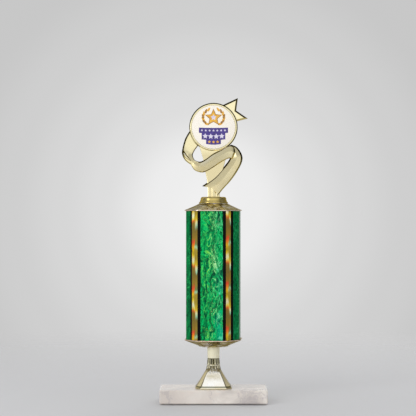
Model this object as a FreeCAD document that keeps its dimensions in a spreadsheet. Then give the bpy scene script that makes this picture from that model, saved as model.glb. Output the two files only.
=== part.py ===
# Column trophy: marble base, riser, foil-wrapped column between two lids, and a
# ribbon figure that holds a round emblem, all clamped on one threaded rod.
#
# Frame: +Z up, origin in the middle of the plane that the felt pads rest on, the
# front faces -Y.  Lengths are millimetres and angles are degrees.
import FreeCAD, Part
import math
import os
import Sketcher
from FreeCAD import Vector

os.makedirs("parts", exist_ok=True)
doc = FreeCAD.newDocument("column_trophy")

# ---------------------------------------------------------------- driving sizes
SIZES = [
    # (alias, value, meaning)
    ("base_width", 125.0, "marble base, left to right"),
    ("base_depth", 64.0, "marble base, front to back"),
    ("base_thickness", 16.1, "marble base, height"),
    ("base_bevel", 1.3, "polished bevel along the marble's edges"),
    ("counterbore_radius", 12.0, "recess for the nut under the marble"),
    ("counterbore_depth", 10.5, "depth of that recess"),
    ("base_hole_radius", 3.6, "hole for the rod through the marble"),
    ("felt_radius", 6.5, "felt pad under the marble"),
    ("felt_thickness", 1.0, "felt pad"),
    ("felt_inset", 11.0, "felt pad centre to the marble's sides"),
    ("turning_gap", 0.02, "gap between pieces that turn on each other"),
    ("rod_radius", 3.175, "quarter-inch rod"),
    ("rod_chamfer", 0.6, "chamfer at the rod's ends"),
    ("rod_above_table", 1.6, "rod's lower end above the table"),
    ("rod_hole_radius", 3.25, "running fit round the rod"),
    ("nut_flats", 11.11, "nut, across flats"),
    ("nut_height", 5.5, "clamping nut"),
    ("figure_nut_height", 5.0, "nut pressed into the figure"),
    ("nut_hole_radius", 3.2, "bore of both nuts"),
    ("flat_washer_radius", 8.7, "flat washer, outside"),
    ("flat_washer_height", 1.2, "flat washer"),
    ("lock_washer_radius", 6.2, "split lock washer, outside"),
    ("lock_washer_height", 1.6, "split lock washer"),
    ("lock_washer_split", 1.2, "gap in the lock washer"),
    ("riser_height", 48.1, "riser, foot to top"),
    ("foot_half", 21.1, "riser foot, half its width"),
    ("foot_corner", 6.0, "corner cut of the foot"),
    ("lip_height", 1.1, "upright lip round the foot"),
    ("lip_bevel_top", 2.3, "height where the lip's bevel meets the pyramid"),
    ("lip_step", 1.0, "how far that bevel leans in from the lip"),
    ("pyramid_top", 20.4, "height where the pyramid meets the neck"),
    ("neck_half", 8.85, "half width where the pyramid meets the neck"),
    ("neck_corner", 2.5, "corner cut there"),
    ("neck_top", 33.9, "height where the neck meets the collar"),
    ("neck_foot_radius", 8.7, "neck ribs at the pyramid"),
    ("neck_top_radius", 7.0, "neck ribs at the collar"),
    ("flute_depth", 0.7, "depth of the flutes between the ribs"),
    ("bead_height", 26.5, "height of the bead round the neck"),
    ("bead_radius", 7.75, "bead round the neck, outside"),
    ("bead_width", 2.0, "bead, top to bottom"),
    ("bead_rise", 0.5, "how far the bead's middle stands out from its edges"),
    ("collar_radius", 6.8, "collar at the neck"),
    ("collar_top_radius", 7.25, "collar under the lid"),
    ("riser_wall", 1.7, "wall of the riser moulding"),
    ("riser_bore", 4.9, "radius of the hollow up the neck"),
    ("riser_cap", 2.5, "thickness of the collar's closed end"),
    ("lid_height", 9.0, "lid, rim plane to boss end"),
    ("lid_overhang", 1.8, "lid rim beyond the column's face"),
    ("lid_rim", 1.1, "upright edge of the lid's rim"),
    ("lid_slope_top", 8.1, "height where the lid's slope meets the boss"),
    ("lid_hollow_start", 1.0, "height where the hollow under the slope starts to narrow"),
    ("boss_radius", 17.4, "boss at its root"),
    ("boss_end_radius", 17.0, "boss at its end"),
    ("boss_round", 0.5, "cut edge at the boss's end"),
    ("lid_wall", 1.5, "wall of the lid moulding"),
    ("lid_seat", 1.5, "depth that the column sits in a lid"),
    ("lid_seat_clearance", 0.15, "clearance round the column in that seat"),
    ("spigot_length", 7.0, "plug that reaches into the column"),
    ("spigot_clearance", 0.1, "clearance round the plug"),
    ("column_half", 30.85, "column, half across its faces, foil included"),
    ("column_corner", 14.4, "corner cut of the column"),
    ("column_length", 152.4, "six-inch column"),
    ("column_twist", -4.0, "turn of the column about the rod, degrees"),
    ("column_wall", 1.8, "wall of the column's tube"),
    ("foil_thickness", 0.15, "green wrap"),
    ("tape_thickness", 0.08, "corner tape"),
    ("tape_on_face", 2.6, "tape's part on the front or back face"),
    ("tape_on_corner", 11.2, "tape's part on the corner face"),
    ("figure_foot_radius", 16.9, "figure's round base at its foot"),
    ("figure_lip", 1.4, "height of the base's upright foot"),
    ("figure_base_radius", 15.0, "figure's base at its shoulder"),
    ("figure_shoulder", 5.9, "height of that shoulder"),
    ("figure_base_top", 7.3, "height of the base's flat top"),
    ("figure_top_radius", 13.4, "radius of the base's flat top"),
    ("rod_into_figure", 5.4, "rod's upper end above the figure's foot"),
    ("rod_hole_in_figure", 5.9, "depth of the blind hole in the figure"),
    ("stem_half", 7.0, "stem, about half its width above the base"),
    ("stem_thickness", 6.0, "stem, front to back"),
    ("disc_height", 88.9, "centre of the emblem holder above the figure's foot"),
    ("disc_radius", 28.3, "emblem holder, outside"),
    ("disc_thickness", 7.0, "emblem holder, front to back"),
    ("disc_round", 1.1, "rounded edge of the holder"),
    ("recess_radius", 25.8, "recess for the emblem"),
    ("recess_depth", 1.6, "depth of that recess"),
    ("emblem_radius", 25.4, "two-inch emblem"),
    ("emblem_thickness", 0.8, "emblem"),
    ("adhesive_radius", 22.0, "double-sided pad behind the emblem"),
    ("adhesive_thickness", 0.5, "double-sided pad"),
    ("star_thickness", 3.2, "star behind the holder"),
    ("star_setback", 0.3, "star's front behind the holder's middle plane"),
    ("ribbon_thickness", 3.0, "ribbon, front to back"),
    ("ribbon_crease", 1.1, "height of the ribbon's middle fold"),
    ("cut_overrun", 1.0, "extra length that takes a cut clear of the surface"),
]

sheet = doc.addObject("Spreadsheet::Sheet", "Sizes")
for row, (alias, value, meaning) in enumerate(SIZES, start=1):
    sheet.set(f"A{row}", meaning)
    sheet.set(f"B{row}", str(value))
    sheet.setAlias(f"B{row}", alias)
doc.recompute()


def size(text):
    """The value of an expression written with the sheet's aliases."""
    return float(sheet.evalExpression(text))


# ---------------------------------------------------------------- heights
BASE_TOP = "(Sizes.felt_thickness + Sizes.base_thickness)"
RISER_FOOT = f"({BASE_TOP} + Sizes.turning_gap)"
LOWER_BOSS = f"({RISER_FOOT} + Sizes.riser_height + Sizes.turning_gap)"
LOWER_RIM = f"({LOWER_BOSS} + Sizes.lid_height)"
COLUMN_FOOT = f"({LOWER_RIM} - Sizes.lid_seat)"
UPPER_RIM = f"({COLUMN_FOOT} + Sizes.column_length - Sizes.lid_seat)"
FIGURE_FOOT = f"({UPPER_RIM} + Sizes.lid_height + Sizes.turning_gap)"
COUNTERBORE_ROOF = "(Sizes.felt_thickness + Sizes.counterbore_depth)"

# How far a 45 degree corner cut grows when the whole outline grows by one.
CORNER_GROWTH = 2.0 - math.sqrt(2.0)


# ---------------------------------------------------------------- builders
def new_body(name):
    return doc.addObject("PartDesign::Body", name)


def place(item, height, turn="0", tip="0"):
    """Stand an object at a height, tipped about X and then turned about Z."""
    spin = f"rotation(vector(0; 0; 1); {turn})"
    roll = f"rotation(vector(1; 0; 0); {tip})"
    item.setExpression("Placement", f"placement(vector(0; 0; {height}); {spin} * {roll})")


def new_sketch(body, name, plane_role="XY_Plane", offset=None):
    """A sketch on one of the body's own origin planes, raised by offset."""
    sketch = body.newObject("Sketcher::SketchObject", name)
    plane = next(f for f in body.Origin.OriginFeatures if f.Role == plane_role)
    sketch.AttachmentSupport = (plane, [""])
    sketch.MapMode = "FlatFace"
    if offset:
        sketch.setExpression("AttachmentOffset.Base.z", offset)
    return sketch


def bind_distance(sketch, kind, edge, point, text):
    """Hold a point's X or Y distance from the sketch's origin at an expression."""
    index = sketch.addConstraint(Sketcher.Constraint(kind, edge, point, size(text)))
    name = f"{kind}_{index}"
    sketch.renameConstraint(index, name)
    sketch.setExpression(f"Constraints.{name}", text)


def outline(sketch, corners):
    """A closed outline of straight edges; each corner is a pair of expressions."""
    count = len(corners)
    first = sketch.GeometryCount
    points = [Vector(size(across), size(up), 0) for across, up in corners]
    for index in range(count):
        edge = Part.LineSegment(points[index], points[(index + 1) % count])
        sketch.addGeometry(edge)
    for index in range(count):
        here = first + index
        after = first + (index + 1) % count
        sketch.addConstraint(Sketcher.Constraint("Coincident", here, 2, after, 1))
    for index, (across, up) in enumerate(corners):
        bind_distance(sketch, "DistanceX", first + index, 1, across)
        bind_distance(sketch, "DistanceY", first + index, 1, up)


def circle(sketch, radius, across="0", up="0"):
    """A circle bound to a radius and a centre."""
    centre = Vector(size(across), size(up), 0)
    edge = sketch.addGeometry(Part.Circle(centre, Vector(0, 0, 1), size(radius)))
    bind_distance(sketch, "DistanceX", edge, 3, across)
    bind_distance(sketch, "DistanceY", edge, 3, up)
    index = sketch.addConstraint(Sketcher.Constraint("Radius", edge, size(radius)))
    sketch.renameConstraint(index, f"radius_{index}")
    sketch.setExpression(f"Constraints.radius_{index}", radius)


def chamfered_square(sketch, half, corner):
    """A square with 45 degree corner cuts, from its half width and the cut."""
    run = f"({half} - {corner})"
    outline(sketch, [
        (run, f"-{half}"), (half, f"-{run}"), (half, run), (run, half),
        (f"-{run}", half), (f"-{half}", run), (f"-{half}", f"-{run}"), (f"-{run}", f"-{half}"),
    ])


def grown(half, corner, growth):
    """The half width and corner cut of a chamfered square offset outwards."""
    return f"({half} + {growth})", f"({corner} + {CORNER_GROWTH} * ({growth}))"


def pad(body, name, sketch, length, symmetric=False):
    feature = body.newObject("PartDesign::Pad", name)
    feature.Profile = sketch
    feature.setExpression("Length", length)
    if symmetric:
        feature.SideType = "Symmetric"
    return feature


def pocket(body, name, sketch, length):
    """A cut from the sketch, upwards along the sketch's normal."""
    feature = body.newObject("PartDesign::Pocket", name)
    feature.Profile = sketch
    feature.setExpression("Length", length)
    feature.Reversed = True
    return feature


def revolve(body, name, sketch, kind="PartDesign::Revolution"):
    """A full turn of the sketch about its own vertical axis."""
    feature = body.newObject(kind, name)
    feature.Profile = sketch
    feature.ReferenceAxis = (sketch, ["V_Axis"])
    feature.Angle = 360
    return feature


def loft(body, name, first, others, kind="PartDesign::AdditiveLoft"):
    feature = body.newObject(kind, name)
    feature.Profile = first
    feature.Sections = others
    feature.Ruled = True
    return feature


def ring(name, outside, inside, height):
    """A round ring standing on its own XY plane."""
    body = new_body(name)
    sketch = new_sketch(body, f"{name}_section")
    circle(sketch, outside)
    circle(sketch, inside)
    pad(body, f"{name}_pad", sketch, height)
    return body


def hexagon(sketch, flats):
    """A regular hexagon from its size across flats."""
    radius = f"({flats} / (2 * cos(30)))"
    outline(sketch, [
        (f"{radius} * cos({60 * side})", f"{radius} * sin({60 * side})") for side in range(6)
    ])


def hex_nut(name, height):
    """A hexagonal nut; its thread is drawn as a plain bore."""
    body = new_body(name)
    sketch = new_sketch(body, f"{name}_section")
    hexagon(sketch, "Sizes.nut_flats")
    circle(sketch, "Sizes.nut_hole_radius")
    pad(body, f"{name}_pad", sketch, height)
    return body


# ---------------------------------------------------------------- base group
def marble_base():
    """A bevelled block with a rod hole that widens underneath for the nut."""
    body = new_body("marble_base")
    half_width = "Sizes.base_width / 2"
    half_depth = "Sizes.base_depth / 2"
    block = new_sketch(body, "block_outline")
    outline(block, [
        (f"-{half_width}", f"-{half_depth}"), (half_width, f"-{half_depth}"),
        (half_width, half_depth), (f"-{half_width}", half_depth),
    ])
    slab = pad(body, "block", block, "Sizes.base_thickness")
    doc.recompute()
    bevel = body.newObject("PartDesign::Chamfer", "polished_bevels")
    bevel.Base = (slab, [f"Edge{n}" for n in range(1, len(slab.Shape.Edges) + 1)])
    bevel.setExpression("Size", "Sizes.base_bevel")
    hole = new_sketch(body, "rod_hole_outline")
    circle(hole, "Sizes.base_hole_radius")
    pocket(body, "rod_hole", hole, "Sizes.base_thickness")
    recess = new_sketch(body, "nut_recess_outline")
    circle(recess, "Sizes.counterbore_radius")
    pocket(body, "nut_recess", recess, "Sizes.counterbore_depth")
    place(body, "Sizes.felt_thickness")
    return body


def felt_pads():
    """Four round pads, one near each corner of the marble."""
    pads = []
    for side, side_name in ((-1, "left"), (1, "right")):
        for front, front_name in ((-1, "front"), (1, "back")):
            one = doc.addObject("Part::Cylinder", f"felt_{front_name}_{side_name}")
            one.setExpression("Radius", "Sizes.felt_radius")
            one.setExpression("Height", "Sizes.felt_thickness")
            across = f"{side} * (Sizes.base_width / 2 - Sizes.felt_inset)"
            along = f"{front} * (Sizes.base_depth / 2 - Sizes.felt_inset)"
            one.setExpression("Placement.Base.x", across)
            one.setExpression("Placement.Base.y", along)
            pads.append(one)
    group = doc.addObject("Part::Compound", "felt_pads")
    group.Links = pads
    return group


def threaded_rod():
    """The clamping rod with chamfered ends, drawn at its thread's outside."""
    body = new_body("threaded_rod")
    length = f"({FIGURE_FOOT} + Sizes.rod_into_figure - Sizes.rod_above_table)"
    sketch = new_sketch(body, "rod_profile", "XZ_Plane")
    outline(sketch, [
        ("0", "0"), ("Sizes.rod_radius - Sizes.rod_chamfer", "0"),
        ("Sizes.rod_radius", "Sizes.rod_chamfer"),
        ("Sizes.rod_radius", f"{length} - Sizes.rod_chamfer"),
        ("Sizes.rod_radius - Sizes.rod_chamfer", length), ("0", length),
    ])
    revolve(body, "rod_shaft", sketch)
    place(body, "Sizes.rod_above_table")
    return body


def lock_washer():
    """A split ring: the slot opens it on its right side."""
    body = ring("lock_washer", "Sizes.lock_washer_radius", "Sizes.rod_hole_radius",
                "Sizes.lock_washer_height")
    slot = new_sketch(body, "split_outline")
    half_gap = "Sizes.lock_washer_split / 2"
    slot_end = "Sizes.rod_hole_radius - Sizes.cut_overrun"
    slot_mouth = "Sizes.lock_washer_radius + Sizes.cut_overrun"
    outline(slot, [
        (slot_end, f"-{half_gap}"), (slot_mouth, f"-{half_gap}"),
        (slot_mouth, half_gap), (slot_end, half_gap),
    ])
    pocket(body, "split", slot, "Sizes.lock_washer_height")
    return body


def base_group():
    """The marble with its pads and the clamping hardware in its recess."""
    washer_foot = f"({COUNTERBORE_ROOF} - Sizes.flat_washer_height)"
    lock_foot = f"({washer_foot} - Sizes.lock_washer_height)"
    washer = ring("flat_washer", "Sizes.flat_washer_radius", "Sizes.base_hole_radius",
                  "Sizes.flat_washer_height")
    place(washer, washer_foot)
    lock = lock_washer()
    place(lock, lock_foot)
    nut = hex_nut("hex_nut", "Sizes.nut_height")
    place(nut, f"({lock_foot} - Sizes.nut_height)")
    return [marble_base(), felt_pads(), threaded_rod(), washer, lock, nut]


# ---------------------------------------------------------------- riser
RIB_COUNT = 16


def rib_outline(sketch, radius):
    """A round section with shallow flutes: ribs and flutes take turns."""
    corners = []
    for step in range(2 * RIB_COUNT):
        reach = radius if step % 2 == 0 else f"({radius} - Sizes.flute_depth)"
        angle = 180 * step / RIB_COUNT
        corners.append((f"{reach} * cos({angle})", f"{reach} * sin({angle})"))
    outline(sketch, corners)


def riser():
    """Hollow moulding: lipped pyramid foot, fluted neck with a bead, collar."""
    body = new_body("riser")
    lip = new_sketch(body, "lip_outline")
    chamfered_square(lip, "Sizes.foot_half", "Sizes.foot_corner")
    pad(body, "lip", lip, "Sizes.lip_height")

    bevel_foot = new_sketch(body, "bevel_foot", offset="Sizes.lip_height")
    chamfered_square(bevel_foot, "Sizes.foot_half", "Sizes.foot_corner")
    half, corner = grown("Sizes.foot_half", "Sizes.foot_corner", "-Sizes.lip_step")
    pyramid_foot = new_sketch(body, "pyramid_foot", offset="Sizes.lip_bevel_top")
    chamfered_square(pyramid_foot, half, corner)
    pyramid_head = new_sketch(body, "pyramid_head", offset="Sizes.pyramid_top")
    chamfered_square(pyramid_head, "Sizes.neck_half", "Sizes.neck_corner")
    loft(body, "pyramid", bevel_foot, [pyramid_foot, pyramid_head])

    ribs_foot = new_sketch(body, "ribs_foot", offset="Sizes.pyramid_top")
    rib_outline(ribs_foot, "Sizes.neck_foot_radius")
    ribs_head = new_sketch(body, "ribs_head", offset="Sizes.neck_top")
    rib_outline(ribs_head, "Sizes.neck_top_radius")
    loft(body, "fluted_neck", ribs_foot, [ribs_head])

    round_parts = new_sketch(body, "collar_profile", "XZ_Plane")
    outline(round_parts, [
        ("0", "Sizes.neck_top"), ("Sizes.collar_radius", "Sizes.neck_top"),
        ("Sizes.collar_top_radius", "Sizes.riser_height"), ("0", "Sizes.riser_height"),
    ])
    revolve(body, "collar", round_parts)
    bead = new_sketch(body, "bead_profile", "XZ_Plane")
    outline(bead, [
        ("0", "Sizes.bead_height - Sizes.bead_width / 2"),
        ("Sizes.bead_radius - Sizes.bead_rise", "Sizes.bead_height - Sizes.bead_width / 2"),
        ("Sizes.bead_radius", "Sizes.bead_height"),
        ("Sizes.bead_radius - Sizes.bead_rise", "Sizes.bead_height + Sizes.bead_width / 2"),
        ("0", "Sizes.bead_height + Sizes.bead_width / 2"),
    ])
    revolve(body, "bead", bead)

    half, corner = grown("Sizes.foot_half", "Sizes.foot_corner", "-Sizes.lip_step - Sizes.riser_wall")
    hollow_foot = new_sketch(body, "hollow_foot")
    chamfered_square(hollow_foot, half, corner)
    half, corner = grown("Sizes.neck_half", "Sizes.neck_corner", "-Sizes.riser_wall")
    hollow_head = new_sketch(body, "hollow_head", offset="Sizes.pyramid_top - Sizes.riser_wall")
    chamfered_square(hollow_head, half, corner)
    loft(body, "hollow_pyramid", hollow_foot, [hollow_head], "PartDesign::SubtractiveLoft")
    bore = new_sketch(body, "neck_bore_outline")
    circle(bore, "Sizes.riser_bore")
    pocket(body, "neck_bore", bore, "Sizes.riser_height - Sizes.riser_cap")
    hole = new_sketch(body, "riser_rod_hole_outline")
    circle(hole, "Sizes.rod_hole_radius")
    pocket(body, "riser_rod_hole", hole, "Sizes.riser_height")
    place(body, RISER_FOOT)
    return body


# ---------------------------------------------------------------- column group
def octagon(sketch, inner_radius):
    """A regular octagon, which is a chamfered square with a set corner cut."""
    corner = f"({CORNER_GROWTH} * {inner_radius})"
    chamfered_square(sketch, inner_radius, corner)


def lid(name):
    """A lid: z = 0 is the rim plane, the boss rises and the plug hangs below."""
    body = new_body(name)
    rim_half, rim_corner = grown("Sizes.column_half", "Sizes.column_corner", "Sizes.lid_overhang")
    rim = new_sketch(body, f"{name}_rim_outline")
    chamfered_square(rim, rim_half, rim_corner)
    pad(body, f"{name}_rim", rim, "Sizes.lid_rim")
    slope_foot = new_sketch(body, f"{name}_slope_foot", offset="Sizes.lid_rim")
    chamfered_square(slope_foot, rim_half, rim_corner)
    slope_head = new_sketch(body, f"{name}_slope_head", offset="Sizes.lid_slope_top")
    octagon(slope_head, "Sizes.boss_radius")
    loft(body, f"{name}_slope", slope_foot, [slope_head])

    boss = new_sketch(body, f"{name}_boss_profile", "XZ_Plane")
    outline(boss, [
        ("0", "Sizes.lid_slope_top"), ("Sizes.boss_radius", "Sizes.lid_slope_top"),
        ("Sizes.boss_end_radius", "Sizes.lid_height - Sizes.boss_round"),
        ("Sizes.boss_end_radius - Sizes.boss_round", "Sizes.lid_height"), ("0", "Sizes.lid_height"),
    ])
    revolve(body, f"{name}_boss", boss)

    seat_growth = "Sizes.lid_seat_clearance"
    seat_half, seat_corner = grown("Sizes.column_half", "Sizes.column_corner", seat_growth)
    seat = new_sketch(body, f"{name}_seat_outline")
    chamfered_square(seat, seat_half, seat_corner)
    pocket(body, f"{name}_seat", seat, "Sizes.lid_seat")

    inside = "-Sizes.foil_thickness - Sizes.column_wall - Sizes.spigot_clearance"
    plug_half, plug_corner = grown("Sizes.column_half", "Sizes.column_corner", inside)
    plug = new_sketch(body, f"{name}_plug_outline", offset="-Sizes.spigot_length")
    chamfered_square(plug, plug_half, plug_corner)
    pad(body, f"{name}_plug", plug, "Sizes.spigot_length + Sizes.lid_seat")
    hollow = f"{inside} - Sizes.lid_wall"
    hollow_half, hollow_corner = grown("Sizes.column_half", "Sizes.column_corner", hollow)
    mouth = new_sketch(body, f"{name}_mouth_outline", offset="-Sizes.spigot_length")
    chamfered_square(mouth, hollow_half, hollow_corner)
    pocket(body, f"{name}_mouth", mouth, "Sizes.spigot_length + Sizes.lid_hollow_start")
    under_foot = new_sketch(body, f"{name}_under_foot", offset="Sizes.lid_hollow_start")
    chamfered_square(under_foot, hollow_half, hollow_corner)
    under_head = new_sketch(body, f"{name}_under_head", offset="Sizes.lid_slope_top - Sizes.lid_wall")
    octagon(under_head, "(Sizes.boss_radius - Sizes.lid_wall)")
    loft(body, f"{name}_under", under_foot, [under_head], "PartDesign::SubtractiveLoft")
    bore = new_sketch(body, f"{name}_bore_outline")
    circle(bore, "Sizes.boss_end_radius - Sizes.lid_wall")
    pocket(body, f"{name}_bore", bore, "Sizes.lid_height - Sizes.lid_wall")
    hole = new_sketch(body, f"{name}_rod_hole_outline")
    circle(hole, "Sizes.rod_hole_radius")
    pocket(body, f"{name}_rod_hole", hole, "Sizes.lid_height")
    return body


def column_sleeve(name, outer_growth, inner_growth):
    """A length of chamfered-square tube between two offsets of the column's face."""
    body = new_body(name)
    sketch = new_sketch(body, f"{name}_section")
    for growth in (outer_growth, inner_growth):
        half, corner = grown("Sizes.column_half", "Sizes.column_corner", growth)
        chamfered_square(sketch, half, corner)
    pad(body, f"{name}_pad", sketch, "Sizes.column_length")
    place(body, COLUMN_FOOT, "Sizes.column_twist")
    return body


def corner_tapes():
    """Four thin tapes, each folded over the edge of the front or back face."""
    body = new_body("corner_tapes")
    body.AllowCompound = True
    sketch = new_sketch(body, "tape_sections")
    edge = "(Sizes.column_half - Sizes.column_corner)"
    outer_half, outer_corner = grown("Sizes.column_half", "Sizes.column_corner",
                                     "Sizes.tape_thickness")
    outer_edge = f"({outer_half} - {outer_corner})"
    along = "(Sizes.tape_on_corner * sqrt(0.5))"
    lift = "(Sizes.tape_thickness * sqrt(0.5))"
    corners = [
        (f"({edge} - Sizes.tape_on_face)", "Sizes.column_half"),
        (f"({edge} - Sizes.tape_on_face)", outer_half),
        (outer_edge, outer_half),
        (f"({edge} + {along} + {lift})", f"(Sizes.column_half - {along} + {lift})"),
        (f"({edge} + {along})", f"(Sizes.column_half - {along})"),
        (edge, "Sizes.column_half"),
    ]
    for side in (-1, 1):
        for front in (-1, 1):
            outline(sketch, [(f"{side} * {x}", f"{front} * {y}") for x, y in corners])
    pad(body, "tapes", sketch, "Sizes.column_length")
    place(body, COLUMN_FOOT, "Sizes.column_twist")
    return body


def column_group():
    """Tube, wrap and tapes between two equal lids, the lower one upside down."""
    lower = lid("lower_lid")
    place(lower, LOWER_RIM, "Sizes.column_twist", "180")
    upper = lid("upper_lid")
    place(upper, UPPER_RIM, "Sizes.column_twist")
    tube = column_sleeve("column_tube", "-Sizes.foil_thickness",
                         "-Sizes.foil_thickness - Sizes.column_wall")
    foil = column_sleeve("column_foil", "0", "-Sizes.foil_thickness")
    return [lower, tube, foil, corner_tapes(), upper]


# ---------------------------------------------------------------- figure group
# Depth of the recess floor in front of the holder's middle plane.
RECESS_FLOOR = "(Sizes.disc_thickness / 2 - Sizes.recess_depth)"


def figure_base():
    """Round base of the figure, solid except for the nut and the rod's end."""
    body = new_body("figure_base")
    profile = new_sketch(body, "figure_base_profile", "XZ_Plane")
    outline(profile, [
        ("0", "0"), ("Sizes.figure_foot_radius", "0"),
        ("Sizes.figure_foot_radius", "Sizes.figure_lip"),
        ("Sizes.figure_base_radius", "Sizes.figure_shoulder"),
        ("Sizes.figure_top_radius", "Sizes.figure_base_top"), ("0", "Sizes.figure_base_top"),
    ])
    revolve(body, "figure_base_turned", profile)
    return body


def figure_stem():
    """Flat post that narrows from the holder down to the base."""
    body = new_body("figure_stem")
    sketch = new_sketch(body, "stem_outline", "XZ_Plane")
    # (offset from the axis over the stem's half width, height over the disc's height)
    right_side = [
        (1.08, 0.07), (1.0, 0.145), (1.0, 0.19), (1.15, 0.29), (1.42, 0.39), (1.78, 0.53),
        (2.1, 0.63), (2.35, 0.72), (2.5, 0.80),
    ]
    left_side = [
        (-0.98, 0.07), (-0.96, 0.145), (-0.99, 0.19), (-1.08, 0.29), (-1.32, 0.39), (-1.67, 0.56),
        (-1.93, 0.635), (-2.26, 0.72), (-2.4, 0.80),
    ]
    outline(sketch, [
        (f"{offset} * Sizes.stem_half", f"{height} * Sizes.disc_height")
        for offset, height in right_side + left_side[::-1]
    ])
    pad(body, "stem", sketch, "Sizes.stem_thickness", symmetric=True)
    return body


def emblem_holder():
    """Round plate with rounded edges, before the recess is cut in its front."""
    body = new_body("emblem_holder")
    plate = new_sketch(body, "holder_outline", "XZ_Plane")
    circle(plate, "Sizes.disc_radius", up="Sizes.disc_height")
    slab = pad(body, "holder_plate", plate, "Sizes.disc_thickness", symmetric=True)
    doc.recompute()
    rims = [
        f"Edge{n}" for n, edge in enumerate(slab.Shape.Edges, start=1)
        if edge.Closed and isinstance(edge.Curve, Part.Circle)
    ]
    rounding = body.newObject("PartDesign::Fillet", "holder_rounding")
    rounding.Base = (slab, rims)
    rounding.setExpression("Radius", "Sizes.disc_round")
    return body


def emblem_recess():
    """The round space in front of the holder's recess floor, to be cut away."""
    body = new_body("emblem_recess")
    sketch = new_sketch(body, "recess_outline", "XZ_Plane", offset=RECESS_FLOOR)
    circle(sketch, "Sizes.recess_radius", up="Sizes.disc_height")
    pad(body, "recess", sketch, "Sizes.recess_depth + Sizes.cut_overrun")
    return body


# Corners of the star in disc radii from the disc's centre, tips and hollows taking
# turns.  The last tip is short, so that it stays behind the disc.
STAR_CORNERS = [
    (1.01, 1.21), (0.94, 0.69), (1.42, 0.36), (0.86, 0.22), (0.64, -0.35),
    (0.30, 0.17), (-0.23, 0.17), (0.18, 0.60), (0.02, 0.90), (0.37, 0.91),
]


def figure_star():
    """Star plate that shows two of its tips from behind the holder."""
    body = new_body("figure_star")
    sketch = new_sketch(body, "star_outline", "XZ_Plane",
                        offset="-Sizes.star_thickness - Sizes.star_setback")
    outline(sketch, [
        (f"{across} * Sizes.disc_radius", f"{up} * Sizes.disc_radius + Sizes.disc_height")
        for across, up in STAR_CORNERS
    ])
    pad(body, "star", sketch, "Sizes.star_thickness")
    return body


# The ribbon's three runs.  Each station is (left or upper edge, right or lower edge,
# depth): the edges are in disc radii from the disc's centre, and the depth is in
# millimetres in front of (-) or behind (+) the disc's middle plane.
RIBBON_LOOP = [
    ((-0.71, 0.21), (-0.30, -0.20), 1.5),
    ((-0.98, -0.15), (-0.50, -0.55), 1.5),
    ((-1.21, -0.69), (-0.74, -0.84), 0.8),
    ((-1.25, -1.04), (-0.85, -1.10), -0.2),
    ((-1.17, -1.33), (-0.81, -1.33), -1.2),
    ((-0.90, -1.56), (-0.70, -1.42), -2.0),
]
RIBBON_SASH = [
    ((-0.75, -1.40), (-0.93, -1.53), -2.0),
    ((-0.60, -1.43), (-0.75, -1.79), -2.6),
    ((-0.37, -1.34), (-0.52, -1.86), -3.4),
    ((0.00, -1.09), (-0.15, -1.74), -4.6),
    ((0.32, -0.92), (0.37, -1.41), -5.6),
    ((0.70, -0.74), (0.68, -1.31), -6.0),
    ((0.90, -0.86), (0.77, -1.33), -5.6),
]
RIBBON_TAIL = [
    ((0.60, -1.02), (0.75, -0.76), -3.2),
    ((0.70, -1.16), (1.02, -0.92), -3.6),
    ((0.66, -1.34), (1.18, -1.26), -4.2),
    ((0.44, -1.60), (1.06, -1.65), -4.6),
    ((0.10, -2.01), (0.76, -2.14), -4.6),
    ((-0.47, -2.44), (0.17, -2.79), -4.2),
]
TAIL_NOTCH = [(-0.62, -2.46), (-0.01, -2.53), (0.27, -2.98)]
SECTIONS_PER_RUN = 14


def course(points):
    """A smooth curve through points that are in disc radii and millimetres."""
    radius = size("Sizes.disc_radius")
    centre = size("Sizes.disc_height")
    through = [Vector(x * radius, depth, centre + z * radius) for (x, z), depth in points]
    shares = [index / (len(through) - 1) for index in range(len(through))]
    curve = Part.BSplineCurve()
    curve.interpolate(Points=through, Parameters=shares)
    return curve


def ribbon_run(name, stations):
    """One run of the ribbon: a five-sided section, creased in front, along its edges."""
    first_edge = course([(first, depth) for first, second, depth in stations])
    second_edge = course([(second, depth) for first, second, depth in stations])
    half = Vector(0, size("Sizes.ribbon_thickness") / 2, 0)
    crease = Vector(0, size("Sizes.ribbon_crease"), 0)
    sections = []
    for step in range(SECTIONS_PER_RUN + 1):
        share = step / SECTIONS_PER_RUN
        first = first_edge.value(share)
        second = second_edge.value(share)
        middle = (first + second) / 2 - half - crease
        corners = [first - half, middle, second - half, second + half, first + half]
        sections.append(Part.makePolygon(corners + corners[:1]))
    run = doc.addObject("Part::Feature", name)
    run.Shape = Part.makeLoft(sections, True, True)
    return run


def notched_tail():
    """The tail's end is cut to a V."""
    tail = ribbon_run("ribbon_tail_whole", RIBBON_TAIL)
    radius = size("Sizes.disc_radius")
    centre = size("Sizes.disc_height")
    reach = size("Sizes.disc_thickness") * 2
    corners = [Vector(x * radius, -reach, centre + z * radius) for x, z in TAIL_NOTCH]
    wedge = Part.Face(Part.makePolygon(corners + corners[:1])).extrude(Vector(0, 2 * reach, 0))
    notch = doc.addObject("Part::Feature", "tail_notch")
    notch.Shape = wedge
    cut = doc.addObject("Part::Cut", "ribbon_tail")
    cut.Base = tail
    cut.Tool = notch
    return cut


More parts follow.
